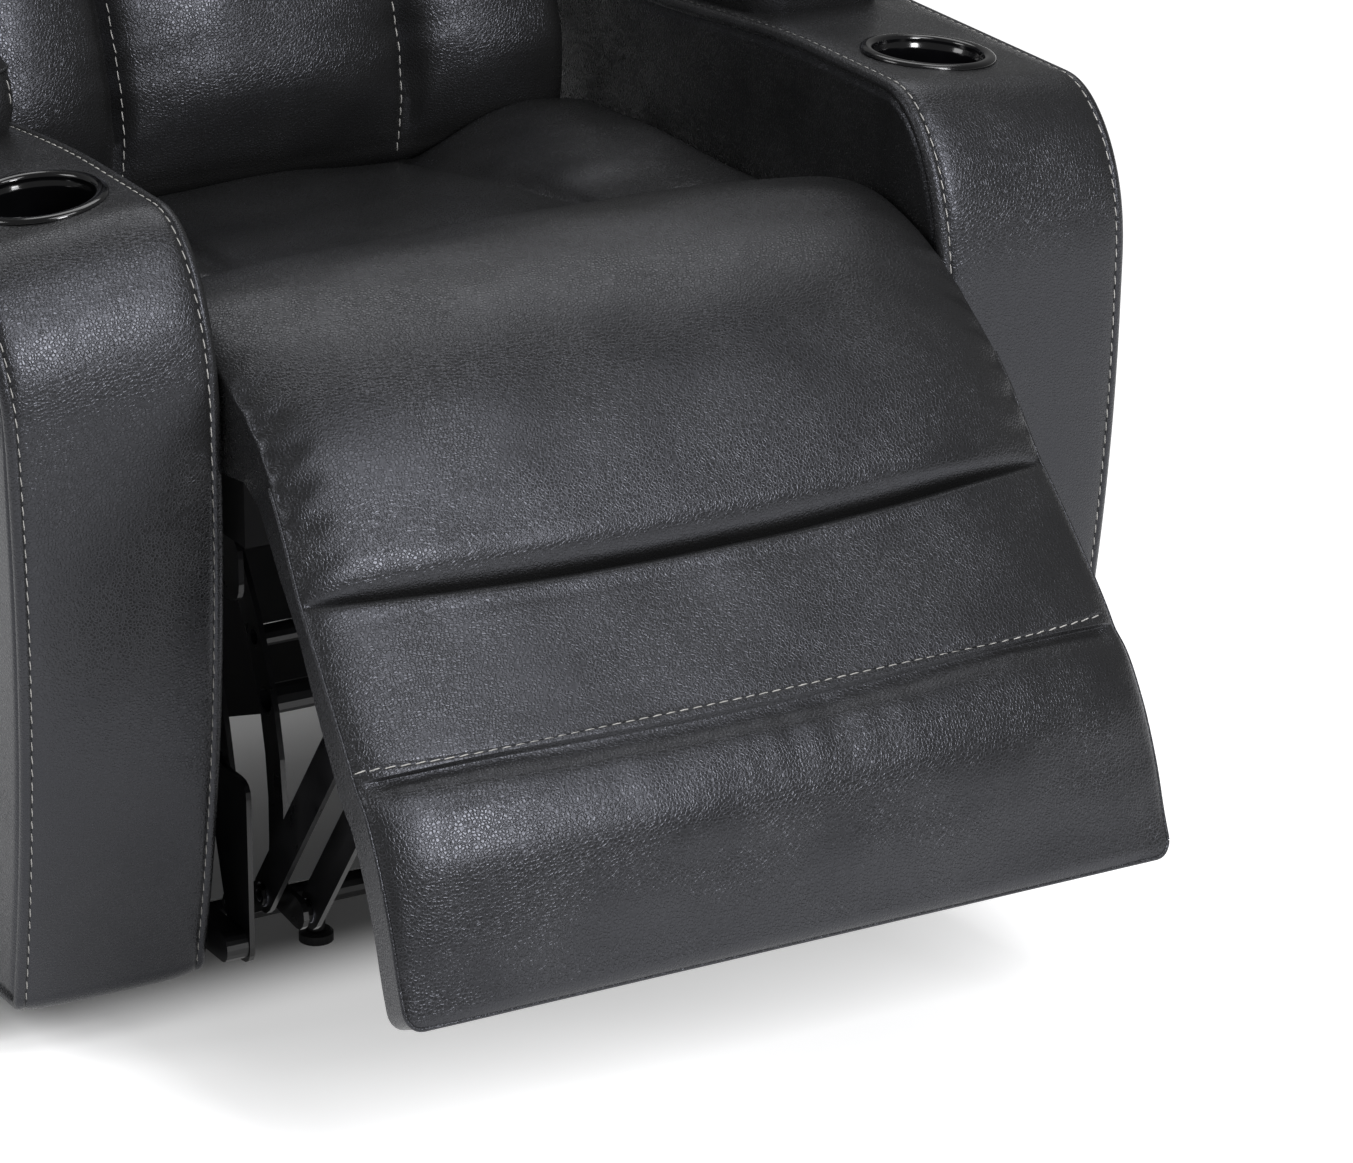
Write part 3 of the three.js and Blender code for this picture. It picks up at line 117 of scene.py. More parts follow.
def ripple(place, wavelength, seed, waves=12):
    # waves in fixed random directions, each about one wavelength long, summed to about unit size
    rng = np.random.default_rng(seed)
    ways = unit(rng.normal(size=(waves, 3)))
    lengths = wavelength * rng.uniform(0.7, 1.6, (waves, 1))
    phases = rng.uniform(0, 2 * math.pi, waves)
    points = np.stack(np.broadcast_arrays(*place), axis=-1)
    return np.sin(points @ (2 * math.pi * ways / lengths).T + phases).sum(-1) / math.sqrt(waves)


def gridNormals(grid, cell, way):
    # cross product of the two grid directions, turned so that one cell's normal points the given way
    normals = unit(np.cross(np.gradient(grid, axis=0), np.gradient(grid, axis=1)))
    return normals if normals[cell] @ np.asarray(way, float) > 0 else -normals


def quadsOf(cells):
    # one quad for each cell of a grid of point numbers
    return np.stack([cells[:-1, :-1], cells[:-1, 1:], cells[1:, 1:], cells[1:, :-1]], axis=-1).reshape(-1, 4)


def rim(grid):
    # the border of a grid as one loop
    return np.concatenate([grid[0, :], grid[1:, -1], grid[-1, -2::-1], grid[-2:0:-1, 0]])


def buildPiece(name, points, faces, material, body=None, sharpAbove=None):
    # a closed mesh from points in metres, with its faces turned outwards
    mesh = bpy.data.meshes.new(name)
    mesh.from_pydata(points.reshape(-1, 3).tolist(), [], faces)
    shell = bmesh.new()
    shell.from_mesh(mesh)
    bmesh.ops.recalc_face_normals(shell, faces=shell.faces)
    shell.to_mesh(mesh)
    shell.free()
    mesh.shade_smooth()
    if sharpAbove:
        mesh.set_sharp_from_angle(angle=math.radians(sharpAbove))
    mesh.materials.append(material)
    piece = bpy.data.objects.new(name, mesh)
    scene.collection.objects.link(piece)
    if body:
        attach(piece, body)
    return piece


def padShell(front, back, wall):
    # two sheets on the same grid, joined round their borders by the layers of a wall
    cells = np.arange(front[..., 0].size).reshape(front.shape[:2])
    wallCells = 2 * cells.size + np.arange(wall[..., 0].size).reshape(wall.shape[:2])
    loops = np.vstack([rim(cells), wallCells, rim(cells + cells.size)])
    loops = np.column_stack([loops, loops[:, :1]])
    faces = [quadsOf(cells), quadsOf(cells + cells.size)[:, ::-1], quadsOf(loops)[:, ::-1]]
    return np.concatenate([sheet.reshape(-1, 3) for sheet in (front, back, wall)]), np.concatenate(faces).tolist()


def wallBetween(front, back, shares):
    # layers of a wall at the given shares of the way from the front sheet's border to the back sheet's
    t = np.asarray(shares)[:, None, None]
    return rim(front) * (1 - t) + rim(back) * t


def ringMesh(rings, closed=False):
    # rings of points joined in a row, with a face over each end unless the row closes on itself
    cells = np.arange(rings[..., 0].size).reshape(rings.shape[:2])
    cells = np.column_stack([cells, cells[:, :1]])
    if closed:
        return rings.reshape(-1, 3), quadsOf(np.vstack([cells, cells[:1]])).tolist()
    return rings.reshape(-1, 3), quadsOf(cells).tolist() + cells[[0, -1], :-1].tolist()


def tubeMesh(path, radius, closed=False):
    # a round tube of eight sides: a ring round each point of the path, in the plane across it
    tangents = unit(np.roll(path, -1, axis=0) - np.roll(path, 1, axis=0) if closed else np.gradient(path, axis=0))
    helper = np.where(np.abs(tangents[:, 2:3]) > 0.9, [[1.0, 0, 0]], [[0, 0, 1.0]])
    sideways = unit(np.cross(tangents, helper))
    upwards = np.cross(sideways, tangents)
    angles = np.linspace(0, 2 * math.pi, 8, endpoint=False)[None, :, None]
    spokes = np.cos(angles) * sideways[:, None] + np.sin(angles) * upwards[:, None]
    return ringMesh(path[:, None] + radius * spokes, closed)


def latheMesh(profile, segments):
    # a profile of (radius, height) turned about the Z axis, with a face over each end
    profile = np.asarray(profile, float)
    angles = np.linspace(0, 2 * math.pi, segments, endpoint=False)
    return ringMesh(np.stack([profile[:, :1] * np.cos(angles), profile[:, :1] * np.sin(angles),
                              np.repeat(profile[:, 1:], segments, axis=1)], axis=-1))


# Materials

def linearColour(code):
    # sRGB hex to the linear values that a shader socket takes
    values = [int(code[i:i + 2], 16) / 255 for i in (1, 3, 5)]
    return tuple(v / 12.92 if v <= 0.04045 else ((v + 0.055) / 1.055) ** 2.4 for v in values) + (1.0,)


def feed(tree, node, inputs):
    # an input is a value, another node's output, or a node, which gives its first output
    for key, value in inputs.items():
        if isinstance(value, bpy.types.Node):
            value = value.outputs[0]
        if isinstance(value, bpy.types.NodeSocket):
            tree.links.new(value, node.inputs[key])
        else:
            node.inputs[key].default_value = value


def addNode(tree, kind, inputs=None, **settings):
    node = tree.nodes.new("ShaderNode" + kind)
    for key, value in settings.items():
        setattr(node, key, value)
    feed(tree, node, inputs or {})
    return node


def combine(tree, operation, *values, kind="Math"):
    return addNode(tree, kind, dict(enumerate(values)), operation=operation)


def rescale(tree, value, low, high, toLow=0.0, toHigh=1.0, smooth=False):
    # carries a value from one range to another and holds it at the ends
    ends = {"Value": value, "From Min": low, "From Max": high, "To Min": toLow, "To Max": toHigh}
    return addNode(tree, "MapRange", ends, interpolation_type="SMOOTHSTEP" if smooth else "LINEAR")


def newMaterial(name):
    # a material, its node tree and the place on the object in metres
    material = bpy.data.materials.new(name)
    material.use_nodes = True
    tree = material.node_tree
    return material, tree, addNode(tree, "TexCoord").outputs["Object"]


def dress(tree, colours, tone, rough, height, relief, others):
    # the shader's colour between two hex codes, its roughness, and its relief in millimetres
    dark, light = (linearColour(code) for code in colours)
    mix = addNode(tree, "Mix", {0: tone, 6: dark, 7: light}, data_type="RGBA")
    shape = addNode(tree, "Bump", {"Height": height, "Distance": relief / 1000})
    given = {"Base Color": mix.outputs[2], "Roughness": rough, "Normal": shape}
    feed(tree, tree.nodes["Principled BSDF"], {**given, **others})


leatherLook = {"pebble": 2.5, "domeShare": 0.24, "creaseShare": 0.6, "wrinkle": 9.0, "bend": 2.2, "mottle": 70.0,
               "colours": ("#1b1b1b", "#222222"), "roughness": 0.27, "rougherGrooves": 0.09, "relief": 0.18,
               "highlight": "#eaedfa"}


def makeLeather(name, look):
    # PU-coated split leather, embossed with a pebble grain and rolled: it gives broad bluish highlights that break up
    # into single pebbles, and finer wrinkles between them
    material, tree, place = newMaterial(name)
    warp = addNode(tree, "TexNoise", {"Vector": place, "Scale": 1000 / look["wrinkle"], "Detail": 3.0})
    bent = combine(tree, "MULTIPLY", warp.outputs["Color"], (look["bend"] / 1000,) * 3, kind="VectorMath")
    moved = combine(tree, "ADD", place, bent, kind="VectorMath")
    pebbles = addNode(tree, "TexVoronoi", {"Vector": moved, "Scale": 1000 / look["pebble"]}, feature="DISTANCE_TO_EDGE")
    domes = rescale(tree, pebbles, 0, look["domeShare"], smooth=True)
    creases = addNode(tree, "TexNoise", {"Vector": moved, "Scale": 1000 / (look["pebble"] * 1.1), "Detail": 3.0})
    strength = addNode(tree, "TexNoise", {"Vector": place, "Scale": 1000 / look["mottle"], "Detail": 2.0})
    height = combine(tree, "MULTIPLY_ADD", creases, look["creaseShare"], domes)
    scaled = combine(tree, "MULTIPLY", height, rescale(tree, strength, 0.35, 0.65, toLow=0.55))
    rough = rescale(tree, domes, 0, 1, look["roughness"] + look["rougherGrooves"], look["roughness"])
    dress(tree, look["colours"], rescale(tree, strength, 0.3, 0.7), rough, scaled, look["relief"],
          {"IOR": 1.5, "Specular Tint": linearColour(look["highlight"])})
    return material


def makePlain(name, colours, grain, relief, roughness, spread, others=None):
    # one colour that drifts towards a second over a noise of the given grain in millimetres, with relief and roughness
    material, tree, place = newMaterial(name)
    noise = addNode(tree, "TexNoise", {"Vector": place, "Scale": 1000 / grain, "Detail": 4.0, "Roughness": 0.6})
    drift = addNode(tree, "TexNoise", {"Vector": place, "Scale": 1000 / (grain * 14), "Detail": 3.0})
    rough = rescale(tree, drift, 0.3, 0.7, roughness - spread, roughness + spread)
    dress(tree, colours, rescale(tree, drift, 0.35, 0.65), rough, noise, relief,
          {"Coat Roughness": 0.08, **(others or {})})
    return material


leather = makeLeather("pu_leather_charcoal", leatherLook)
# bonded polyester sewing thread: matt, pale grey, with its twist as fine relief
thread = makePlain("polyester_thread_grey", ("#a5a4a0", "#bfbdb9"), 0.5, 0.08, 0.72, 0.08)
# injection-moulded ABS, polished: deep black with clear, slightly soft reflections
gloss = makePlain("polished_abs_black", ("#060607", "#0a0a0c"), 3.0, 0.004, 0.15, 0.04,
                  {"IOR": 1.53, "Coat Weight": 0.25})
# polypropylene moulded against a spark-eroded tool: fine even grain, satin
grained = makePlain("moulded_polypropylene_black", ("#141416", "#1b1b1d"), 0.7, 0.05, 0.52, 0.06, {"IOR": 1.49})
# powder-coated steel: slight orange peel under a satin black
coated = makePlain("powder_coated_steel_black", ("#0d0d0f", "#161618"), 1.6, 0.05, 0.33, 0.07,
                   {"IOR": 1.5, "Coat Weight": 0.15})
# zinc-plated steel pins and drawn spring wire: bright grey metal with drawn marks
plated = makePlain("zinc_plated_steel", ("#8d9096", "#b3b5ba"), 1.2, 0.02, 0.34, 0.1, {"Metallic": 1.0})
# black-oxide rivets: dark metal, lighter in random patches
darkPlated = makePlain("black_oxide_steel", ("#55565c", "#7d7e86"), 1.0, 0.03, 0.24, 0.08, {"Metallic": 1.0})
# beech plywood, sanded: warm and matt
plywood = makePlain("sanded_plywood_beech", ("#b08a5c", "#c6a071"), 2.2, 0.06, 0.7, 0.08)
# plywood under stapled black dust cloth: no shine, with the cloth's felted grain
draped = makePlain("dust_cloth_black", ("#101011", "#18181a"), 0.9, 0.14, 0.9, 0.05)
print("materials made")


def padPiece(name, sheets, body, fill, *replaced):
    # a padded leather from its front, back and wall, in place of the named solids
    points, faces = padShell(*sheets)
    piece = buildPiece(name, points, faces, leather, body, sharpAbove=75)
    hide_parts(*replaced)
    return piece


# Arms

arm = {
    "inner": 288, "width": 163, "top": 609, "bottom": 40, "front": 435, "rear": -320, "noseLong": 84, "noseTall": 139,
    "bulge": 431, "bow": 52, "fall": 16, "taper": 15, "rearRound": 30, "heel": 12, "sag": 20, "sagFrom": 250,
    "sagLong": 300, "outerScale": 0.88, "upCells": 92, "alongCells": 116, "panelDepth": 9.8, "pinch": 2.7,
    "pinchWide": 3.2, "slack": 0.4, "dent": 0.5, "bandEdge": 46, "bandDepth": -2.4,
}
# distance from the side panel's plane, and depth below the outline, from the seam to where the flat band starts
seamProfile = np.array([
    (1.5, 8.9), (0.5, 8.0), (0.05, 6.4), (0.35, 4.4), (1.6, 2.3), (3.6, 0.85), (5.8, 0.15), (7.3, 0.3), (8.4, 1.0),
    (9.1, 1.5), (9.8, 1.05), (11.2, 0.1), (14, -0.7), (19, -1.4), (27, -1.9), (38, -2.2)])
stitchLayer = 9  # the point of the profile that carries the stitches


def armOutline():
    # the closed side outline with its inward ways, from the rear corner of the floor edge forwards, up, back and down:
    # straight runs and quarter ellipses, and a front that draws back below its bulge with the square of the depth
    heel, bottom, top, rear, front = (arm[key] for key in ("heel", "bottom", "top", "rear", "front"))
    noseLong, noseTall, rearRound = arm["noseLong"], arm["noseTall"], arm["rearRound"]
    half = 20
    quarter = np.linspace(0, math.pi / 2, 2 * half)
    out, over = np.sin(quarter), 1 - np.cos(quarter)
    bowed = lambda up: front - arm["bow"] * np.clip((arm["bulge"] - up) / (arm["bulge"] - bottom), 0, None) ** 2
    frontUp = np.linspace(bottom + heel, top - noseTall, 240)
    toe = bowed(bottom + heel) - heel
    topEnd = rear + rearRound
    lower, *others = (np.column_stack(np.broadcast_arrays(*run)) for run in [
        (rear + heel * over, bottom + heel * (1 - out)),
        (np.linspace(rear + heel, toe, 200), bottom),
        (toe + heel * out, bottom + heel * over),
        (bowed(frontUp), frontUp),
        (front - noseLong * over, top - noseTall + noseTall * out),
        (np.linspace(front - noseLong, topEnd, 200), top),
        (topEnd - rearRound * out, top - rearRound * over),
        (rear, np.linspace(top - rearRound, bottom + heel, 120)),
    ])
    loop = [lower[half:]] + [run[1:] for run in others] + [lower[1:half + 1]]
    starts = np.cumsum([0] + [len(run) for run in loop])
    line = np.concatenate(loop)
    cuts = [0] + [starts[k] + half - 1 for k in (2, 4, 6)] + [len(line) - 1]
    ways = np.gradient(line, axis=0)
    for _ in range(6):  # softens the turns
        ways = (np.roll(ways, 1, axis=0) + 2 * ways + np.roll(ways, -1, axis=0)) / 4
    ways = unit(ways)
    return np.column_stack([line, -ways[:, 1], ways[:, 0]]), cuts


def clustered(count):
    # shares from 0 to 1 that crowd towards both ends
    share = np.linspace(0, 1, count)
    return share - 0.8 * np.sin(2 * math.pi * share) / (2 * math.pi)


def coons(sides):
    # a grid that meets its four border lines: the two ruled sheets added, less the sheet through the corners
    low, right, high, left = sides[0], sides[1], sides[2][::-1], sides[3][::-1]
    u, v = clustered(low.shape[0])[None, :, None], clustered(right.shape[0])[:, None, None]
    return ((1 - v) * low[None] + v * high[None] + (1 - u) * left[:, None] + u * right[:, None]
            - ((1 - u) * (1 - v) * low[0] + u * (1 - v) * low[-1] + (1 - u) * v * high[0] + u * v * high[-1]))


def armSag(x, forward):
    # the top sinks towards the rear, most along its inner edge and not at all at the lid's hinge
    return arm["sag"] * ease(0, 1, (arm["sagFrom"] - forward) / arm["sagLong"]) * (1 - ease(4, 120, x - arm["inner"]))


def armWarp(x, forward, up):
    # the top falls outwards and the outer side draws in towards the floor
    outward = (x - arm["inner"]) / arm["width"]
    high = ease(0, 1, (up - (arm["top"] - arm["noseTall"])) / arm["noseTall"])
    low = (arm["top"] - up) / (arm["top"] - arm["bottom"])
    sag = armSag(x, forward) * high
    return rowPoints(x - arm["taper"] * low * outward, forward, up - arm["fall"] * outward * high - sag)


def armShell():
    # each side panel lies flat, sinks in a narrow bell at its seam and ripples in its middle; the band between them
    # follows the seam profile out of both seams to a level middle, with slow ripples as dents
    line, cuts = armOutline()
    counts = [arm["alongCells"], arm["upCells"]] * 2
    sides = [resample(line[a:b + 1], clustered(count)) for a, b, count in zip(cuts, cuts[1:], counts)]
    loop = np.concatenate([side[:-1] for side in sides])
    flat = coons([side[:, :2] + arm["panelDepth"] * side[:, 2:] for side in sides])
    forward, up = flat[..., 0], flat[..., 1]
    near = np.full(forward.shape, np.inf)
    for point in rim(flat):
        near = np.minimum(near, np.linalg.norm(flat - point, axis=-1))
    sunk = arm["pinch"] * bump(0, arm["pinchWide"], near) + 0.5 * np.exp(-near / 14)
    slack = arm["slack"] * ripple((forward, up, 0), 150, 7) * ease(10, 90, near)
    inner = armWarp(arm["inner"] + sunk + 0.6 + slack, forward, up)
    outer = armWarp(arm["inner"] + arm["width"] - sunk - 0.2 + slack, forward, up)
    across, depth = seamProfile.T
    middle = np.linspace(arm["bandEdge"], arm["width"] - arm["bandEdge"], 9)
    xs = np.concatenate([across, middle, arm["width"] - (across * arm["outerScale"])[::-1]])
    depths = np.concatenate([depth, np.full(9, arm["bandDepth"]), (depth * arm["outerScale"])[::-1]])
    points = loop[None, :, :2] + depths[:, None, None] * loop[None, :, 2:]
    dent = arm["dent"] * ripple((points[..., 0], points[..., 1], xs[:, None]), 110, 3)
    inside = ease(10, 26, np.minimum(xs, arm["width"] - xs))[:, None]
    points = points - (dent * inside)[..., None] * loop[None, :, 2:]
    return inner, outer, armWarp(arm["inner"] + xs[:, None], points[..., 0], points[..., 1])


def cutAway(piece, *tools):
    # takes closed tool meshes out of a closed piece
    for points, faces in tools:
        tool = buildPiece("tool", points, faces, leather)
        modifier = piece.modifiers.new("cut", "BOOLEAN")
        modifier.operation, modifier.solver, modifier.object = "DIFFERENCE", "MANIFOLD", tool
        bpy.context.view_layer.update()
        result = bpy.data.meshes.new_from_object(piece.evaluated_get(bpy.context.evaluated_depsgraph_get()))
        piece.modifiers.clear()
        piece.data = result
        toolMesh = tool.data
        bpy.data.objects.remove(tool)
        bpy.data.meshes.remove(toolMesh)
    piece.data.shade_smooth()
    piece.data.set_sharp_from_angle(angle=math.radians(50))


stitch = {"pitch": 10.4, "long": 8.4, "radius": 0.46, "slant": 6.0, "unevenPitch": 0.22, "unevenSlant": 1.6,
          "unevenLong": 0.25}
# each ring of a stitch: place in lengths, height and radius in thread radii
stitchRings = np.array([
    (-0.5, -0.95, 0.45), (-0.36, 0.15, 0.95), (0, 0.5, 1.08), (0.36, 0.15, 0.95), (0.5, -0.95, 0.45)])


def stitches(name, path, normals, body, seed):
    # short round threads laid along a path: each rises out of the leather, arches over and goes down again
    steps = np.concatenate([[0], np.cumsum(np.linalg.norm(np.diff(path, axis=0), axis=1))]) * 1000
    count = int((steps[-1] - stitch["long"]) / stitch["pitch"])
    rng = np.random.default_rng(seed)
    centres = (np.arange(count) + 0.5) * stitch["pitch"] + rng.normal(0, stitch["unevenPitch"], count)
    take = lambda table, at: np.stack([np.interp(at, steps, column) for column in table.T], -1)
    tangent = unit(take(path, centres + 0.8) - take(path, centres - 0.8))
    up = unit(take(normals, centres))
    angle = np.radians(stitch["slant"] + rng.normal(0, stitch["unevenSlant"], count))[:, None]
    along = tangent * np.cos(angle) + np.cross(up, tangent) * np.sin(angle)
    lengths = (stitch["long"] + rng.normal(0, stitch["unevenLong"], count))[:, None, None, None]
    middle, along, side, up = (v[:, None, None] for v in (take(path, centres), along, np.cross(up, along), up))
    spots, heights, radii = (row[None, :, None, None] for row in stitchRings.T)
    turn = np.linspace(0, 2 * math.pi, 6, endpoint=False)[None, None, :, None]
    arch = heights * up + radii * (np.cos(turn) * side + np.sin(turn) * up)
    threads = middle + (lengths * spots * along + stitch["radius"] * arch) / 1000
    one, size = ringMesh(threads[0])[1], threads[0, ..., 0].size
    faces = [[corner + start for corner in face] for start in range(0, count * size, size) for face in one]
    buildPiece(name, threads, faces, thread, body)


cup = {"across": 360, "forward": 296, "bore": 41.5, "depth": 74, "wall": 1.8, "flange": 51, "lift": 2.9, "lip": 2.6,
       "crownWide": 4.7, "crownTall": 3.1, "foot": 8, "room": 0.4}
storageBin = {"low": 322, "high": 398, "front": 108, "rear": -140, "depth": 112, "sunk": 14, "room": 0.5}
armSlope = math.atan2(arm["fall"], arm["width"])
armTopAt = lambda x: arm["top"] - arm["fall"] * np.clip((x - arm["inner"]) / arm["width"], 0, None)


def tilted(points, sign):
    # a cup-frame point set turned to the slope of the arm's top and put at the cup
    c, s = math.cos(armSlope), math.sin(armSlope)
    x = points[:, 0] * c + points[:, 2] * s + cup["across"]
    z = -points[:, 0] * s + points[:, 2] * c + armTopAt(cup["across"])
    return np.column_stack([sign * x, points[:, 1] - cup["forward"] + frameShift, z]) / 1000


armInner, armOuter, armWall = armShell()
probe = (len(armWall) // 2, 300)
normals = gridNormals(armWall, probe, armWall[probe] - armWall[probe[0]].mean(0))
holeRadius = cup["bore"] + cup["wall"] + cup["room"]
hole, holeFaces = latheMesh([(holeRadius, -cup["depth"] - cup["wall"] - 0.5), (holeRadius, 60)], 48)
spare = storageBin["room"]
near, far = frameShift - storageBin["front"] - spare, frameShift - storageBin["rear"] + spare
floorUp = arm["top"] - storageBin["sunk"] - storageBin["depth"] - spare
firstStitch = arm["alongCells"] + 3
for side, sign in bothSides:
    mirror = np.array([sign, 1, 1])
    points, faces = padShell(armInner * mirror, armOuter * mirror, armWall * mirror)
    cover = buildPiece("arm_leather_" + side, points, faces, leather, "root")
    low, high = sorted((sign * (storageBin["low"] - spare), sign * (storageBin["high"] + spare)))
    block = [[(low, near, up), (high, near, up), (high, far, up), (low, far, up)] for up in (floorUp, arm["top"] + 30)]
    cutAway(cover, (tilted(hole, sign), holeFaces), ringMesh(np.array(block) / 1000))
    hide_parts("arm_cover_" + side)
    for label, layer in (("inner", stitchLayer), ("outer", len(armWall) - 1 - stitchLayer)):
        path, ways = armWall[layer, firstStitch:] * mirror, normals[layer, firstStitch:] * mirror
        stitches(f"arm_{label}_stitches_{side}", path, ways, "root", 11 + layer)
print("arms made")


def cupProfile():
    # from the outside foot up under the flange, over the rolled rim and down the bore to the floor of the cup
    bore, wall, flange, depth = cup["bore"], cup["wall"], cup["flange"], cup["depth"]
    lift, lip, foot, out = cup["lift"], cup["lip"], cup["foot"], bore + wall
    outside = [(0.01, -depth - wall), (out - 6, -depth - wall), (out - 1.5, -depth), (out, -depth + 4), (out, 0.3)]
    under = [(flange - lip + lip * math.sin(a), lift - lip * math.cos(a)) for a in np.linspace(0, math.pi / 2, 6)]
    crown = [(flange - cup["crownWide"] + cup["crownWide"] * math.cos(a), lift + cup["crownTall"] * math.sin(a))
             for a in np.linspace(0.1, math.pi, 14)]
    step = [(bore + 0.1, 1.2), (bore - 0.3, -0.5), (bore - 1.2, -2.6), (bore - 1.5, -4.0), (bore - 1.6, -9.0)]
    bottom = [(bore - 2.6 - foot * (1 - math.cos(a)), -depth + foot * (1 - math.sin(a)))
              for a in np.linspace(0.15, math.pi / 2, 8)]
    return outside + under + crown + step + bottom + [(20, -depth - 0.1), (0.01, -depth)]


for side, sign in bothSides:
    points, faces = latheMesh(cupProfile(), 96)
    cupPiece = buildPiece("cup_" + side, tilted(points, sign), faces, gloss, "root", sharpAbove=55)
    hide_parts("cup_holder_" + side)
print("cups made")

# Leg rest: one padded leather from the seat crease over the roll and down the folding footrest

legRest = {
    "line": [(261, 489), (300, 514), (345, 520), (390, 512), (440, 493), (485, 464), (520, 431), (546, 398),
             (561, 379), (576, 364), (606, 332), (644, 289), (650, 281), (663, 270), (684, 240), (704, 197),
             (717, 158), (727, 134)],
    "crown": [0, 19, 24, 27, 29, 30, 30, 29, 28, 20, 21, 23, 23, 28, 28, 22, 15, 8],
    "half": 286, "flare": 17, "flareStart": 480, "box": 28, "boxAtRoll": 13, "back": 13.4, "boardHalf": 268,
    "columns": 131, "creaseKnot": 8, "seamKnot": 11, "droopCrease": 18, "droopSeam": 14, "tuckAbove": 27,
    "tuckBelow": 21, "footRound": 9, "cornerRound": 12, "gather": 3.2, "gatherPitch": 27, "pucker": 0.42,
    "puckerPitch": 38,
}
# the roll's underside, which rests on the seat box: knot of the line above it, forward and up
rollUnder = [(0, 262.6, 430.3), (4, 436, 432), (5, 462, 436), (6, 492, 428), (7, 524, 392), (8, 540, 372)]


def legRestSheets():
    # the front is the side line plus a crown that falls to the sides, less the tuck of the crease and the lap of the
    # seam, with gathers, puckers and slack as cosines and ripples; the back follows the seat box and the board
    knots = np.array(legRest["line"], float)
    spans = np.concatenate([[0], np.cumsum(np.linalg.norm(np.diff(knots, axis=0), axis=1))])
    crease, seam, foot = spans[legRest["creaseKnot"]], spans[legRest["seamKnot"]], spans[-1]
    rows = np.unique(np.round(np.concatenate([
        np.linspace(0, foot, 190), np.arange(crease - 36, crease + 26, 1.4), np.arange(seam - 8, seam + 16, 0.7),
        foot - np.array([0, 0.4, 1.2, 2.4, 4, 6, 8.5, 11])]), 2))
    rows = rows[np.concatenate([[True], np.diff(rows) > 0.25])]
    u = np.sin(np.linspace(-1, 1, legRest["columns"]) * math.pi / 2)
    away = np.abs(u)
    # both seams hang lower in the middle
    droop = (legRest["droopCrease"] * bump(crease, 70, rows)
             + legRest["droopSeam"] * bump(seam + 10, 60, rows) * (1 - bump(crease, 40, rows)))
    droop *= 1 - ease(foot - 110, foot, rows)
    s = rows[:, None] + droop[:, None] * (1 - away[None] ** 2.2)
    lineAt = lambda at: np.stack([curveThrough(spans, knots[:, k], at) for k in (0, 1)])
    forward, up = lineAt(s)
    tangent = lineAt(s + 0.5) - lineAt(s - 0.5)
    tangent = tangent / np.hypot(*tangent)
    outF, outU = -tangent[1], tangent[0]
    # the tuck at the crease: the roll turns in steeply above it, the panel below starts shallow
    above, below = np.clip(1 - (crease - rows) / 30, 0, 1), np.clip(1 - (rows - crease) / 30, 0, 1)
    tuck = np.where(rows <= crease, legRest["tuckAbove"] * roundOff(above, 2.2),
                    legRest["tuckBelow"] * below ** 7 + 4 * below ** 2)
    # the lapped seam: a stitch dip, the folded edge of the upper panel, and the lower panel drawn in beneath it
    past = rows - seam
    lap = 1.3 * ease(-26, -6, past) - 1.0 * bump(0, 1.5, past)
    lap = np.where(past > 7.0, 1.3 - 5.2 * ease(7.0, 8.4, past) + 3.9 * ease(9, 42, past), lap)
    lap = lap - 1.3 * ease(60, 120, past)
    crown = curveThrough(spans, legRest["crown"], rows)
    crownShare = np.sqrt(np.clip(1 - away ** 3.4, 0, 1))
    offset = (crown - tuck)[:, None] * crownShare[None] + lap[:, None] * ease(0, 0.06, 1 - away)[None]
    # the foot edge rolls under, and its corners round off
    offset *= (1 - roundOff(1 - np.clip((foot - rows) / legRest["footRound"], 0, 1)))[:, None] * 0.999 + 0.001
    reach = np.clip((forward - legRest["flareStart"]) / (knots[-1, 0] - legRest["flareStart"]), 0, 1)
    half = legRest["half"] + legRest["flare"] * (1 - (1 - reach) ** 1.6)
    corner = legRest["cornerRound"] * roundOff(np.clip(1 - (foot - rows) / 14, 0, 1))
    x = (half - corner[:, None]) * u[None]
    # gathers where the roll meets the arms, puckers below the lapped seam, and slack over the rest
    atSide = (ease(0.87, 0.98, away) * (1 - ease(0.985, 1, away)))[None]
    onRoll = (ease(crease - 210, crease - 150, rows) * (1 - ease(crease - 34, crease - 6, rows)))[:, None]
    folds = np.cos(2 * math.pi * (rows[:, None] + 60 * (1 - away[None])) / legRest["gatherPitch"])
    offset -= legRest["gather"] * (0.5 - 0.5 * folds) ** 1.5 * atSide * onRoll
    uneven = np.clip(0.55 + 0.5 * np.sin(x / 71 + 0.8) + 0.3 * np.sin(x / 23), 0.1, None)
    wander = 2.4 * np.sin(x / 53) + 1.1 * np.sin(x / 19 + 1)
    pucker = np.cos(2 * math.pi * x / legRest["puckerPitch"] + wander) * uneven
    belowSeam = (ease(8, 14, past) * (1 - ease(20, 96, past)))[:, None]
    offset += legRest["pucker"] * pucker * belowSeam * (1 - ease(0.86, 0.97, away))[None]
    calm = (1 - ease(0.9, 1, away))[None] * (1 - bump(seam + 2, 10, rows))[:, None]
    offset += (0.9 * ripple((x, forward, up), 190, 21) + 0.35 * ripple((x, forward, up), 60, 22)) * calm
    front = rowPoints(x, forward + outF * offset, up + outU * offset)
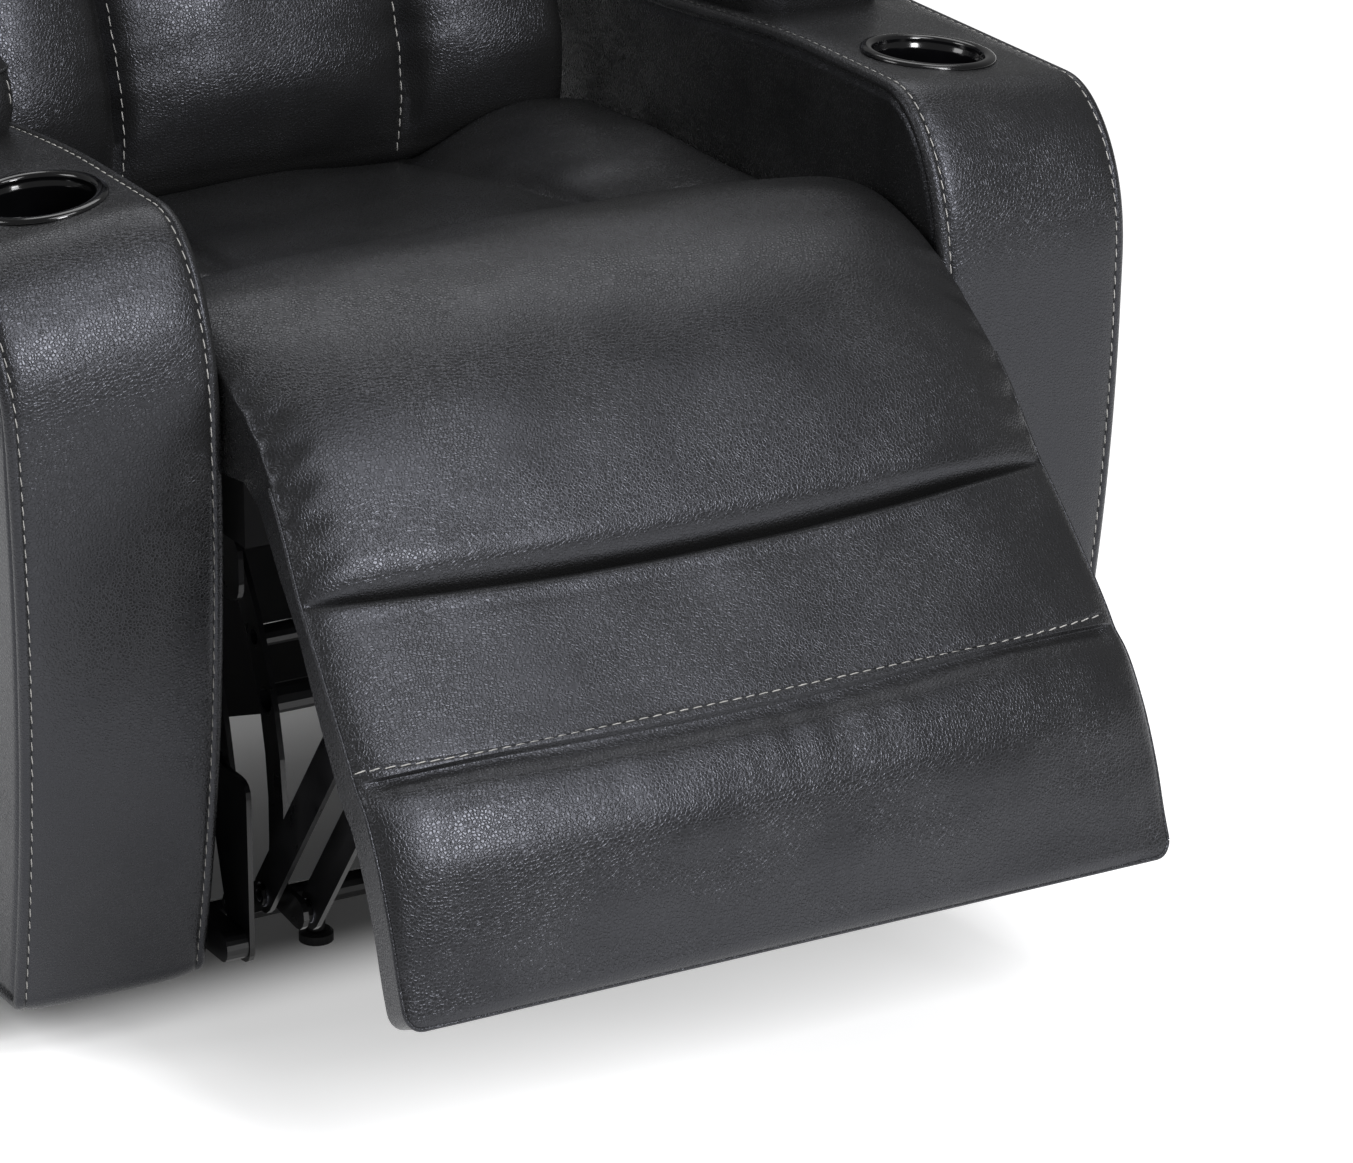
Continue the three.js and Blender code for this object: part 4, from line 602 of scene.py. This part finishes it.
    # the back: down to the seat box behind the roll, then behind the board with a rim round it
    start = knots[legRest["creaseKnot"]]
    chordWay = unit(knots[-1] - start)
    sideF, sideU = forward[:, :1], up[:, :1]
    along = (sideF - start[0]) * chordWay[0] + (sideU - start[1]) * chordWay[1]
    plateF = start[0] + chordWay[0] * along + chordWay[1] * legRest["back"]
    plateU = start[1] + chordWay[1] * along - chordWay[0] * legRest["back"]
    boxDeep = legRest["boxAtRoll"] + (legRest["box"] - legRest["boxAtRoll"]) * ease(crease - 60, seam, rows)[:, None]
    rimF, rimU = sideF - outF[:, :1] * boxDeep, sideU - outU[:, :1] * boxDeep
    under = np.array(rollUnder)
    rollF, rollU = (np.interp(rows, spans[under[:, 0].astype(int)], under[:, k])[:, None] for k in (1, 2))
    onPad = ease(crease - 26, crease + 16, rows)[:, None]
    useRim = ease(legRest["boardHalf"] - 1, legRest["boardHalf"] + 1, np.abs(x))
    mixed = lambda plate, edge, roll: roll * (1 - onPad) + (plate * (1 - useRim) + edge * useRim) * onPad
    return front, rowPoints(x, mixed(plateF, rimF, rollF), mixed(plateU, rimU, rollU)), rows, crease, seam


front, back, legRows, creaseAt, seamAt = legRestSheets()
wall = wallBetween(front, back, [0.06, 0.14, 0.3, 0.5, 0.7, 0.86, 0.95])
legPiece = padPiece("leg_rest_leather", (front, back, wall), None, 0.85, "seat_roll", "footrest_pad")
hinge = {"start": tuple(rowPoints(0, 420, 480)), "end": tuple(rowPoints(0, 500, 480))}
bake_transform(legPiece)

# folded welt on the seam between the face and its side strip, from under the roll round the foot
welt = {"startAbove": 88, "radius": 1.7, "out": 0.3}
startRow = int(np.searchsorted(legRows, creaseAt - welt["startAbove"]))
weltPath = np.concatenate([front[startRow:, 0], front[-1, 1:-1], front[startRow:, -1][::-1]])
weltPath[:len(front) - startRow, 0] -= welt["out"] / 1000
weltPath[startRow - len(front):, 0] += welt["out"] / 1000
points, faces = tubeMesh(weltPath, welt["radius"] / 1000)
weltPiece = buildPiece("leg_rest_welt", points, faces, leather, None)
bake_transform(weltPiece)

seamRow = int(np.argmin(np.abs(legRows - seamAt)))
normals = gridNormals(front, (len(front) // 3, 60), (0, 0, 1))
stitches("leg_rest_stitches", front[seamRow, 2:-2], normals[seamRow, 2:-2], "footrest", 5)
print("leg rest made")

# Seat cushion

seat = {"half": 283, "rear": -124, "front": 257, "under": 430.3, "rearTop": 455, "frontTop": 491, "bolster": 40,
        "bolsterFront": 8, "grooveRear": 115, "grooveFront": 172, "groove": 6, "edge": 16, "frontRound": 17,
        "belly": 6, "rearLip": 450, "tuck": 3.6}


def seatSheets():
    # a sunken middle panel that rises forwards with a parabola across it, and a bolster on each side that swells as a
    # sine; bells sink the seams, quarter circles round the edges, and ripples give the slack
    lastRows = seat["front"] - np.array([12, 8.5, 5.5, 3, 1.2, 0.2])
    forward = np.concatenate([np.linspace(seat["rear"], seat["front"] - 16, 96), lastRows])[:, None]
    share = (forward - seat["rear"]) / (seat["front"] - seat["rear"])
    x = seat["half"] * np.sin(np.linspace(-1, 1, 121) * math.pi / 2)[None, :] * np.ones_like(share)
    seamX = seat["grooveRear"] + (seat["grooveFront"] - seat["grooveRear"]) * share
    away = np.abs(x)
    inner, outer = np.clip(away / seamX, 0, 1), np.clip((away - seamX) / (seat["half"] - seamX), 0, 1)
    panel = seat["rearTop"] + (seat["frontTop"] - seat["rearTop"]) * share + seat["belly"] * (1 - inner ** 2)
    swell = np.sin(math.pi / 2 * np.minimum(1, outer * 1.5)) * (1 - outer ** 4 / 4)
    rise = (seat["bolster"] + (seat["bolsterFront"] - seat["bolster"]) * share) * swell
    seamFade = 1 - ease(0.62, 0.9, share)
    groove = seat["groove"] * bump(0, 7, away - seamX) * seamFade
    # a short tuck across the front of each bolster, where its cover is joined
    tuck = seat["tuck"] * bump(0, 4.5, forward - 196 + 0.12 * (away - 175)) * bump(178, 34, away)
    edge = np.clip((away - (seat["half"] - seat["edge"])) / seat["edge"], 0, 1)
    end = np.clip((forward - (seat["front"] - seat["frontRound"])) / seat["frontRound"], 0, 1)
    up = panel + rise - groove - tuck - seat["edge"] * roundOff(edge) - seat["frontRound"] * roundOff(end)
    tuckIn = ease(seat["rear"] + 18, seat["rear"] + 52, forward)
    up = seat["rearLip"] + (up - seat["rearLip"]) * tuckIn
    # slack across the seat: long folds that run from the bolster seams, and small drags beside them
    calm = (1 - edge) * (1 - end) * tuckIn
    drag = ripple((0.25 * x, forward - 0.35 * away, 0), 44, 33) * bump(24, 30, away - seamX)
    up += (1.6 * ripple((x, forward, 0), 170, 31) + 0.6 * ripple((x, forward, 0), 65, 32)
           + 1.5 * drag * seamFade) * calm
    return rowPoints(x, forward, up), rowPoints(x, forward, seat["under"])


front, back = seatSheets()
padPiece("seat_cushion_leather", (front, back, wallBetween(front, back, [0.15, 0.4, 0.7, 0.9])), "root", 0.8,
         "seat_cushion")
print("seat made")

# Back

lean = math.radians(16)
backFoot = (-165.0, 414.0)  # forward and up of the back's lower end


def onBack(x, up, out):
    # a place on the leaning back: across, up along it and out from it
    return rowPoints(x, backFoot[0] - math.sin(lean) * up + math.cos(lean) * out,
                     backFoot[1] + math.cos(lean) * up + math.sin(lean) * out)


# shares: place up the cushion, thickness and crown there, each as a share of its full size
lumbar = {
    "half": 272, "start": 14, "height": 404, "thick": 118, "crown": 21, "groove": 13, "seam": 125, "edge": 16,
    "seed": 41,
    "shares": [(0, 0.5, 0.0), (0.015, 0.62, 0.1), (0.05, 0.73, 0.3), (0.11, 0.85, 0.65), (0.2, 0.945, 1),
               (0.3, 0.95, 1), (0.46, 0.905, 1), (0.62, 0.86, 1), (0.78, 0.83, 1), (0.9, 0.76, 0.9),
               (0.97, 0.58, 0.5), (1, 0.3, 0.2)]}
head = {
    "half": 268, "start": 421, "height": 212, "thick": 98, "crown": 14, "groove": 10, "seam": 125, "edge": 16,
    "seed": 51,
    "shares": [(0, 0.3, 0.2), (0.03, 0.66, 0.5), (0.12, 0.92, 0.9), (0.32, 1.08, 1), (0.55, 1.1, 1), (0.75, 1.0, 1),
               (0.9, 0.78, 0.8), (0.98, 0.5, 0.5), (1, 0.26, 0.2)]}


def backSheets(sizes):
    # a padded panel in three channels: thickness follows a profile up the back, each channel is crowned as a parabola,
    # bells sink the seams, the sides draw in, and pulls beside the seams are cosines
    table = np.array(sizes["shares"])
    quarter = np.linspace(0, math.pi / 2, 34)
    share = np.unique(np.concatenate([1 - np.cos(quarter), np.linspace(0, 1, 60), np.cos(quarter)]).round(4))
    outShare, crownShare = (curveThrough(table[:, 0], table[:, k], share)[:, None] for k in (1, 2))
    x = (sizes["half"] * np.sin(np.linspace(-1, 1, 141) * math.pi / 2))[None, :]
    away = np.abs(x)
    seam, half, edge = sizes["seam"], sizes["half"], sizes["edge"]
    panel = np.where(away < seam, 1 - (away / seam) ** 2, 1 - ((away - (seam + half) / 2) / ((half - seam) / 2)) ** 2)
    channel = sizes["groove"] * bump(0, 7.5, away - seam) + 1.2 * bump(seam - 7, 2, away)
    out = sizes["thick"] * outShare + (sizes["crown"] * np.clip(panel, 0, None) ** 0.8 - channel) * crownShare
    side = np.clip((away - (half - 2 * edge)) / (2 * edge), 0, 1)
    out = out - (out - 20) * 0.55 * roundOff(side, 2.4)
    up = sizes["start"] + sizes["height"] * share[:, None]
    ends = ease(0, 0.12, share)[:, None] * ease(0, 0.12, 1 - share)[:, None]
    calm = ends * (1 - ease(half - 40, half - 8, away)) * (1 - 0.8 * bump(0, 12, away - seam))
    pull = np.cos(2 * math.pi * up / 34 + 0.7 * np.sin(up / 21)) * bump(0, 26, away - seam) * ends
    slack = 1.4 * ripple((x, up, 0), 160, sizes["seed"]) + 0.5 * ripple((x, up, 0), 70, sizes["seed"] + 1)
    out = out + slack * calm + 0.7 * pull
    return onBack(x, up, np.maximum(out, 8)), onBack(x, up, 4.4), x[0]


for name, sizes in (("back_cushion", lumbar), ("head_cushion", head)):
    front, back, xs = backSheets(sizes)
    padPiece(name + "_leather", (front, back, wallBetween(front, back, [0.1, 0.3, 0.55, 0.8, 0.95])), "back", 0.8, name)
    normals = gridNormals(front, (len(front) // 2, 70), (0, -1, 0))
    for side, sign in bothSides[::-1]:
        column = int(np.argmin(np.abs(xs - sign * (sizes["seam"] - 7))))
        stitches(f"{name}_stitches_{side}", front[6:-6, column], normals[6:-6, column], "back", 60 + sign)
print("back made")

cover = {"half": 272, "start": 26, "height": 612, "thick": 26, "edge": 14, "against": 30.4, "round": 12, "full": 8}


def rearSheets():
    # the outer back: a taut padded panel, fuller in the middle as a parabola both ways, with rounded borders
    share = clustered(70)[:, None]
    x = (cover["half"] * (2 * clustered(70) - 1))[None, :]
    up = cover["start"] + cover["height"] * share
    fromEnd = np.minimum(up - cover["start"], cover["start"] + cover["height"] - up)
    border = np.clip(1 - np.minimum(cover["half"] - np.abs(x), fromEnd) / cover["edge"], 0, 1)
    full = cover["full"] * (1 - (x / cover["half"]) ** 2) * (1 - (2 * share - 1) ** 2)
    slack = 0.8 * ripple((x, up, 0), 190, 71) * (1 - border)
    out = 0.1 - cover["against"] - cover["thick"] + cover["round"] * roundOff(border) - full + slack
    return onBack(x, up, out), onBack(x, up, -cover["against"])


front, back = rearSheets()
padPiece("rear_cover_leather", (front, back, wallBetween(front, back, [0.15, 0.5, 0.9])), "back", 0.9, "rear_cover")
print("rear cover made")

# Arm pads, the lids of the storage bins

lid = {"low": 305, "high": 415, "front": 146, "rear": -190, "height": 56, "crown": 12, "edge": 11, "corner": 24,
       "rows": 90, "columns": 60, "edgeDrop": 6, "weltDip": 2.2, "gap": 0.4, "weltRadius": 1.6, "cornerSeam": 7}
# the wall's layers down from the top, and how far each swells outwards
lidLayers = [(0.05, 0.3), (0.12, 1.2), (0.25, 2.6), (0.45, 3.6), (0.65, 3.6), (0.82, 2.2), (0.93, 0.9), (0.98, 0)]


def lidSheets():
    # the arm's top raised by the lid's height: crowned across as a parabola, a dip inside the rounded edge, and a plan
    # whose half width shrinks along a quarter circle towards both ends
    along, v = clustered(lid["rows"])[:, None], 2 * clustered(lid["columns"])[None, :] - 1
    forward = lid["rear"] + (lid["front"] - lid["rear"]) * along
    fromEnd = np.minimum(forward - lid["rear"], lid["front"] - forward)
    intoCorner = np.clip(1 - fromEnd / lid["corner"], 0, 1)
    halfWide = (lid["high"] - lid["low"]) / 2 - lid["corner"] * roundOff(intoCorner)
    x = (lid["low"] + lid["high"]) / 2 + v * halfWide
    fromSide = np.minimum(halfWide * (1 - np.abs(v)), fromEnd)
    border = np.clip(1 - fromSide / lid["edge"], 0, 1)
    crown = lid["crown"] * (1 - v ** 2) * (1 - np.abs(2 * along - 1) ** 3)
    base = armTopAt(x) - armSag(x, forward) + lid["gap"]
    slack = (0.8 * ripple((x, forward, 0), 130, 81) + 0.3 * ripple((x, forward, 0), 50, 82)) * (1 - border)
    dip = lid["edgeDrop"] * roundOff(border) + lid["weltDip"] * bump(0, 2.0, fromSide - 0.5)
    return rowPoints(x, forward, base + lid["height"] - dip + crown + slack), rowPoints(x, forward, base)


lidFront, lidBack = lidSheets()
shares, swell = np.array(lidLayers).T
lidWall = wallBetween(lidFront, lidBack, shares)
plan = lidWall[0]
outward = np.cross(np.roll(plan, -1, axis=0) - np.roll(plan, 1, axis=0), [0.0, 0, 1])
outward = unit(outward * [1, 1, 0])
outward *= np.sign((outward * (plan - plan.mean(0))).sum(-1, keepdims=True))
lidWall = lidWall + outward * swell[:, None, None] / 1000
# the grid row of the front corner seams, and their places in the loop of rim()
cornerRow = int(np.argmin(np.abs(lidFront[:, 0, 1] - rowPoints(0, lid["front"] - lid["cornerSeam"], 0)[1])))
lidCorners = (("inner", len(plan) - cornerRow), ("outer", lid["columns"] - 1 + cornerRow))
for side, sign in bothSides:
    mirror, body = np.array([sign, 1, 1]), "arm_pad_" + side
    padPiece("arm_pad_leather_" + side, [sheet * mirror for sheet in (lidFront, lidBack, lidWall)], body, 0.9, body)
    points, faces = tubeMesh(rim(lidFront) * mirror, lid["weltRadius"] / 1000, closed=True)
    buildPiece("arm_pad_welt_" + side, points, faces, leather, body)
    # an upright stitched seam on each front corner
    for corner, column in lidCorners:
        spots = np.linspace(0, 1, len(lidWall) - 2)
        path = np.stack([np.interp(np.linspace(0, 1, 30), spots, line) for line in lidWall[1:-1, column].T], -1)
        ways = np.tile(outward[column] * mirror, (30, 1))
        stitches(f"arm_pad_{corner}_stitches_{side}", path * mirror, ways, body, 90)
print("arm pads made")

# Dust cloth hung from the drive bar, cut out round the two motors, with folds that grow downwards
curtain = {"half": 236, "low": 75, "high": 300, "notch": 246, "notchFrom": 39, "notchTo": 101, "forward": 33.2,
           "thick": 1.6, "fold": 5, "hem": 2.5}
cuts = [sign * (curtain[edge] + np.array([-0.8, 0.8])) for sign in (-1, 1) for edge in ("notchFrom", "notchTo")]
across = np.unique(np.concatenate([np.linspace(-curtain["half"], curtain["half"], 150)] + cuts))
cutOut = (np.abs(across) > curtain["notchFrom"]) & (np.abs(across) < curtain["notchTo"])
tall = np.where(cutOut, curtain["notch"], curtain["high"]) - curtain["low"]
share = np.linspace(0, 1, 26)[:, None]
up = curtain["low"] + tall[None] * share + curtain["hem"] * np.sin(across / 31)[None] * (1 - share)
folds = 0.5 + 0.5 * np.sin(across / 15 + 1.2 * np.sin(across / 37))
swing = curtain["forward"] + curtain["fold"] * (1 - share) * folds[None]
front, back = rowPoints(across[None], swing, up), rowPoints(across[None], swing - curtain["thick"], up)
points, faces = padShell(front, back, wallBetween(front, back, [0.5]))
curtainPiece = buildPiece("dust_cloth_curtain", points, faces, draped, "root", sharpAbove=50)
print("dust cloth made")

# Domed rivet heads on washers, one at each joint of the linkage: forward, up, across, and the body they ride on
rivet = {"radius": 6.5, "dome": 3.4, "washer": 9, "thick": 0.9, "sunk": 0.4}
rivetPlaces = {
    "control_pivot": (276, 329, 250.1, "root"), "control_foot": (346, 71, 250.1, "strut_first_{}"),
    "first_foot": (378, 88, 240.1, "rocker"), "first_pin": (510, 262, 240.1, "footrest"),
    "rocker_pivot": (308, 346, 230.1, "root"), "second_foot": (412, 84, 220.1, "rocker"),
    "second_pin": (544, 258, 220.1, "footrest"),
}
radius, washer, thick = rivet["radius"], rivet["washer"], rivet["thick"]
rivetLine = [(0.01, -rivet["sunk"]), (washer, -rivet["sunk"]), (washer, thick * 0.6), (washer - 0.4, thick)]
rivetLine += [(max(radius * math.cos(a), 0.01), thick + rivet["dome"] * math.sin(a))
              for a in np.linspace(0, math.pi / 2, 7)]
points, faces = latheMesh(rivetLine, 24)
for name, (forward, up, across, body) in rivetPlaces.items():
    for side, sign in bothSides:
        placed = rowPoints(sign * (across + points[:, 2]), forward + points[:, 0], up + points[:, 1])
        buildPiece(f"rivet_{name}_{side}", placed, faces, darkPlated, body.format(side), 40)
print("rivets made")

# Carried-over solids: the finish of each node, by the start of its name

finishes = [
    (coated, ("base_", "side_plate", "rocker_link", "rocker_upper_bar", "torque_tube", "strut", "control_link",
              "footrest_bracket", "recline_carrier", "lid_hinge", "drive_bar")),
    (plated, ("rocker_bolt", "recline_bolt", "seat_springs", "back_springs", "footrest_rod", "recline_rod")),
    (grained, ("glide", "footrest_motor", "recline_motor", "control_plate", "storage_bin")),
    (gloss, ("button",)), (plywood, ("arm_frame",)), (draped, ("seat_box", "footrest_board", "back_frame")),
]
for name, node in nodes.items():
    for material, starts in finishes:
        if name.startswith(starts):
            node.data.materials.clear()
            node.data.materials.append(material)
print("solids finished")

# Floor, backdrop and light, in metres

# the shade keys and the glow under the chair paint a contact shadow into the floor's glow
studio = {"floorHalf": 9.0, "floorColour": "#f6f6f6", "glow": 0.54, "glowInPaintedShadow": 0.02, "worldGrey": 0.2,
          "shadeCentre": (0, 0.194, 0), "shadeHalf": (0.42, 0.296, 1), "shadeFade": 0.12, "farFrom": 1.0, "farTo": 5.0,
          "farGlow": 0.4}


def makeFloor():
    # white paper floor: lit by the lamps, with a glow that only the camera and mirrors see, so its shadow stays; under
    # the chair the glow is dimmed as a painted contact shadow
    material, tree, place = newMaterial("paper_floor_white")
    tree.nodes.remove(tree.nodes["Principled BSDF"])
    rays = addNode(tree, "LightPath").outputs
    seen = combine(tree, "MAXIMUM", rays["Is Camera Ray"], rays["Is Glossy Ray"])
    seen = combine(tree, "MAXIMUM", seen, rays["Is Transmission Ray"])
    # painted contact shadow: the glow fades under the chair, by the distance outside its base's rectangle, which is 0
    # inside
    offset = combine(tree, "SUBTRACT", place, studio["shadeCentre"], kind="VectorMath")
    offset = combine(tree, "ABSOLUTE", offset, kind="VectorMath")
    beyond = combine(tree, "SUBTRACT", offset, studio["shadeHalf"], kind="VectorMath")
    beyond = combine(tree, "MAXIMUM", beyond, (0, 0, 0), kind="VectorMath")
    gap = combine(tree, "LENGTH", beyond, kind="VectorMath").outputs["Value"]
    beside = rescale(tree, gap, 0, studio["shadeFade"], studio["glowInPaintedShadow"], studio["glow"], smooth=True)
    # far from the lamps it rises, so the paper stays white to its end
    far = rescale(tree, gap, studio["farFrom"], studio["farTo"], toHigh=studio["farGlow"], smooth=True)
    glow = combine(tree, "MULTIPLY", seen, combine(tree, "ADD", beside, far))
    lit = addNode(tree, "BsdfDiffuse", {"Color": linearColour(studio["floorColour"])})
    both = addNode(tree, "AddShader", {0: lit, 1: addNode(tree, "Emission", {"Strength": glow})})
    feed(tree, tree.nodes["Material Output"], {"Surface": both})
    return material


floorMesh = bpy.data.meshes.new("floor")
h = studio["floorHalf"]
floorMesh.from_pydata([(-h, -h, 0), (h, -h, 0), (h, h, 0), (-h, h, 0)], [], [(0, 1, 2, 3)])
floorMesh.materials.append(makeFloor())
floor = bpy.data.objects.new("floor", floorMesh)
scene.collection.objects.link(floor)

# white air for the camera, and a dim grey for what it lights
world = bpy.data.worlds.new("studio_air")
world.use_nodes = True
scene.world = world
tree = world.node_tree
tree.nodes.clear()
rays = addNode(tree, "LightPath").outputs
seen = combine(tree, "MAXIMUM", rays["Is Camera Ray"], rays["Is Transmission Ray"])
level = rescale(tree, seen, 0, 1, toLow=studio["worldGrey"])
sky = addNode(tree, "Background", {"Color": (1, 1, 1, 1), "Strength": level})
addNode(tree, "OutputWorld", {"Surface": sky})

lamps = {
    "key": {"place": (0.35, -2.9, 2.0), "size": (0.75, 1.1), "power": 66, "aimUp": 0.4, "colour": "#fdfdff"},
    "high": {"place": (0.35, -1.6, 3.0), "size": (1.6, 1.2), "power": 31, "aimUp": 0.4, "colour": "#fdfdff"},
    "top": {"place": (0.9, 1.25, 3.1), "size": (2.2, 1.5), "power": 24, "aimUp": 0.3, "colour": "#ffffff"},
    "left": {"place": (-2.6, 0.4, 2.2), "size": (1.2, 1.2), "power": 24, "aimUp": 0.4, "colour": "#ffffff"},
}
for name, lamp in lamps.items():
    data = bpy.data.lights.new(name, "AREA")
    data.shape, data.size, data.size_y = "RECTANGLE", *lamp["size"]
    data.energy, data.color = lamp["power"], linearColour(lamp["colour"])[:3]
    light = bpy.data.objects.new(name, data)
    light.location = lamp["place"]
    way = Vector((0, 0, lamp["aimUp"])) - Vector(lamp["place"])
    light.rotation_euler = way.to_track_quat("-Z", "Y").to_euler()
    scene.collection.objects.link(light)

scene.view_settings.view_transform = "Standard"
print("scene made")
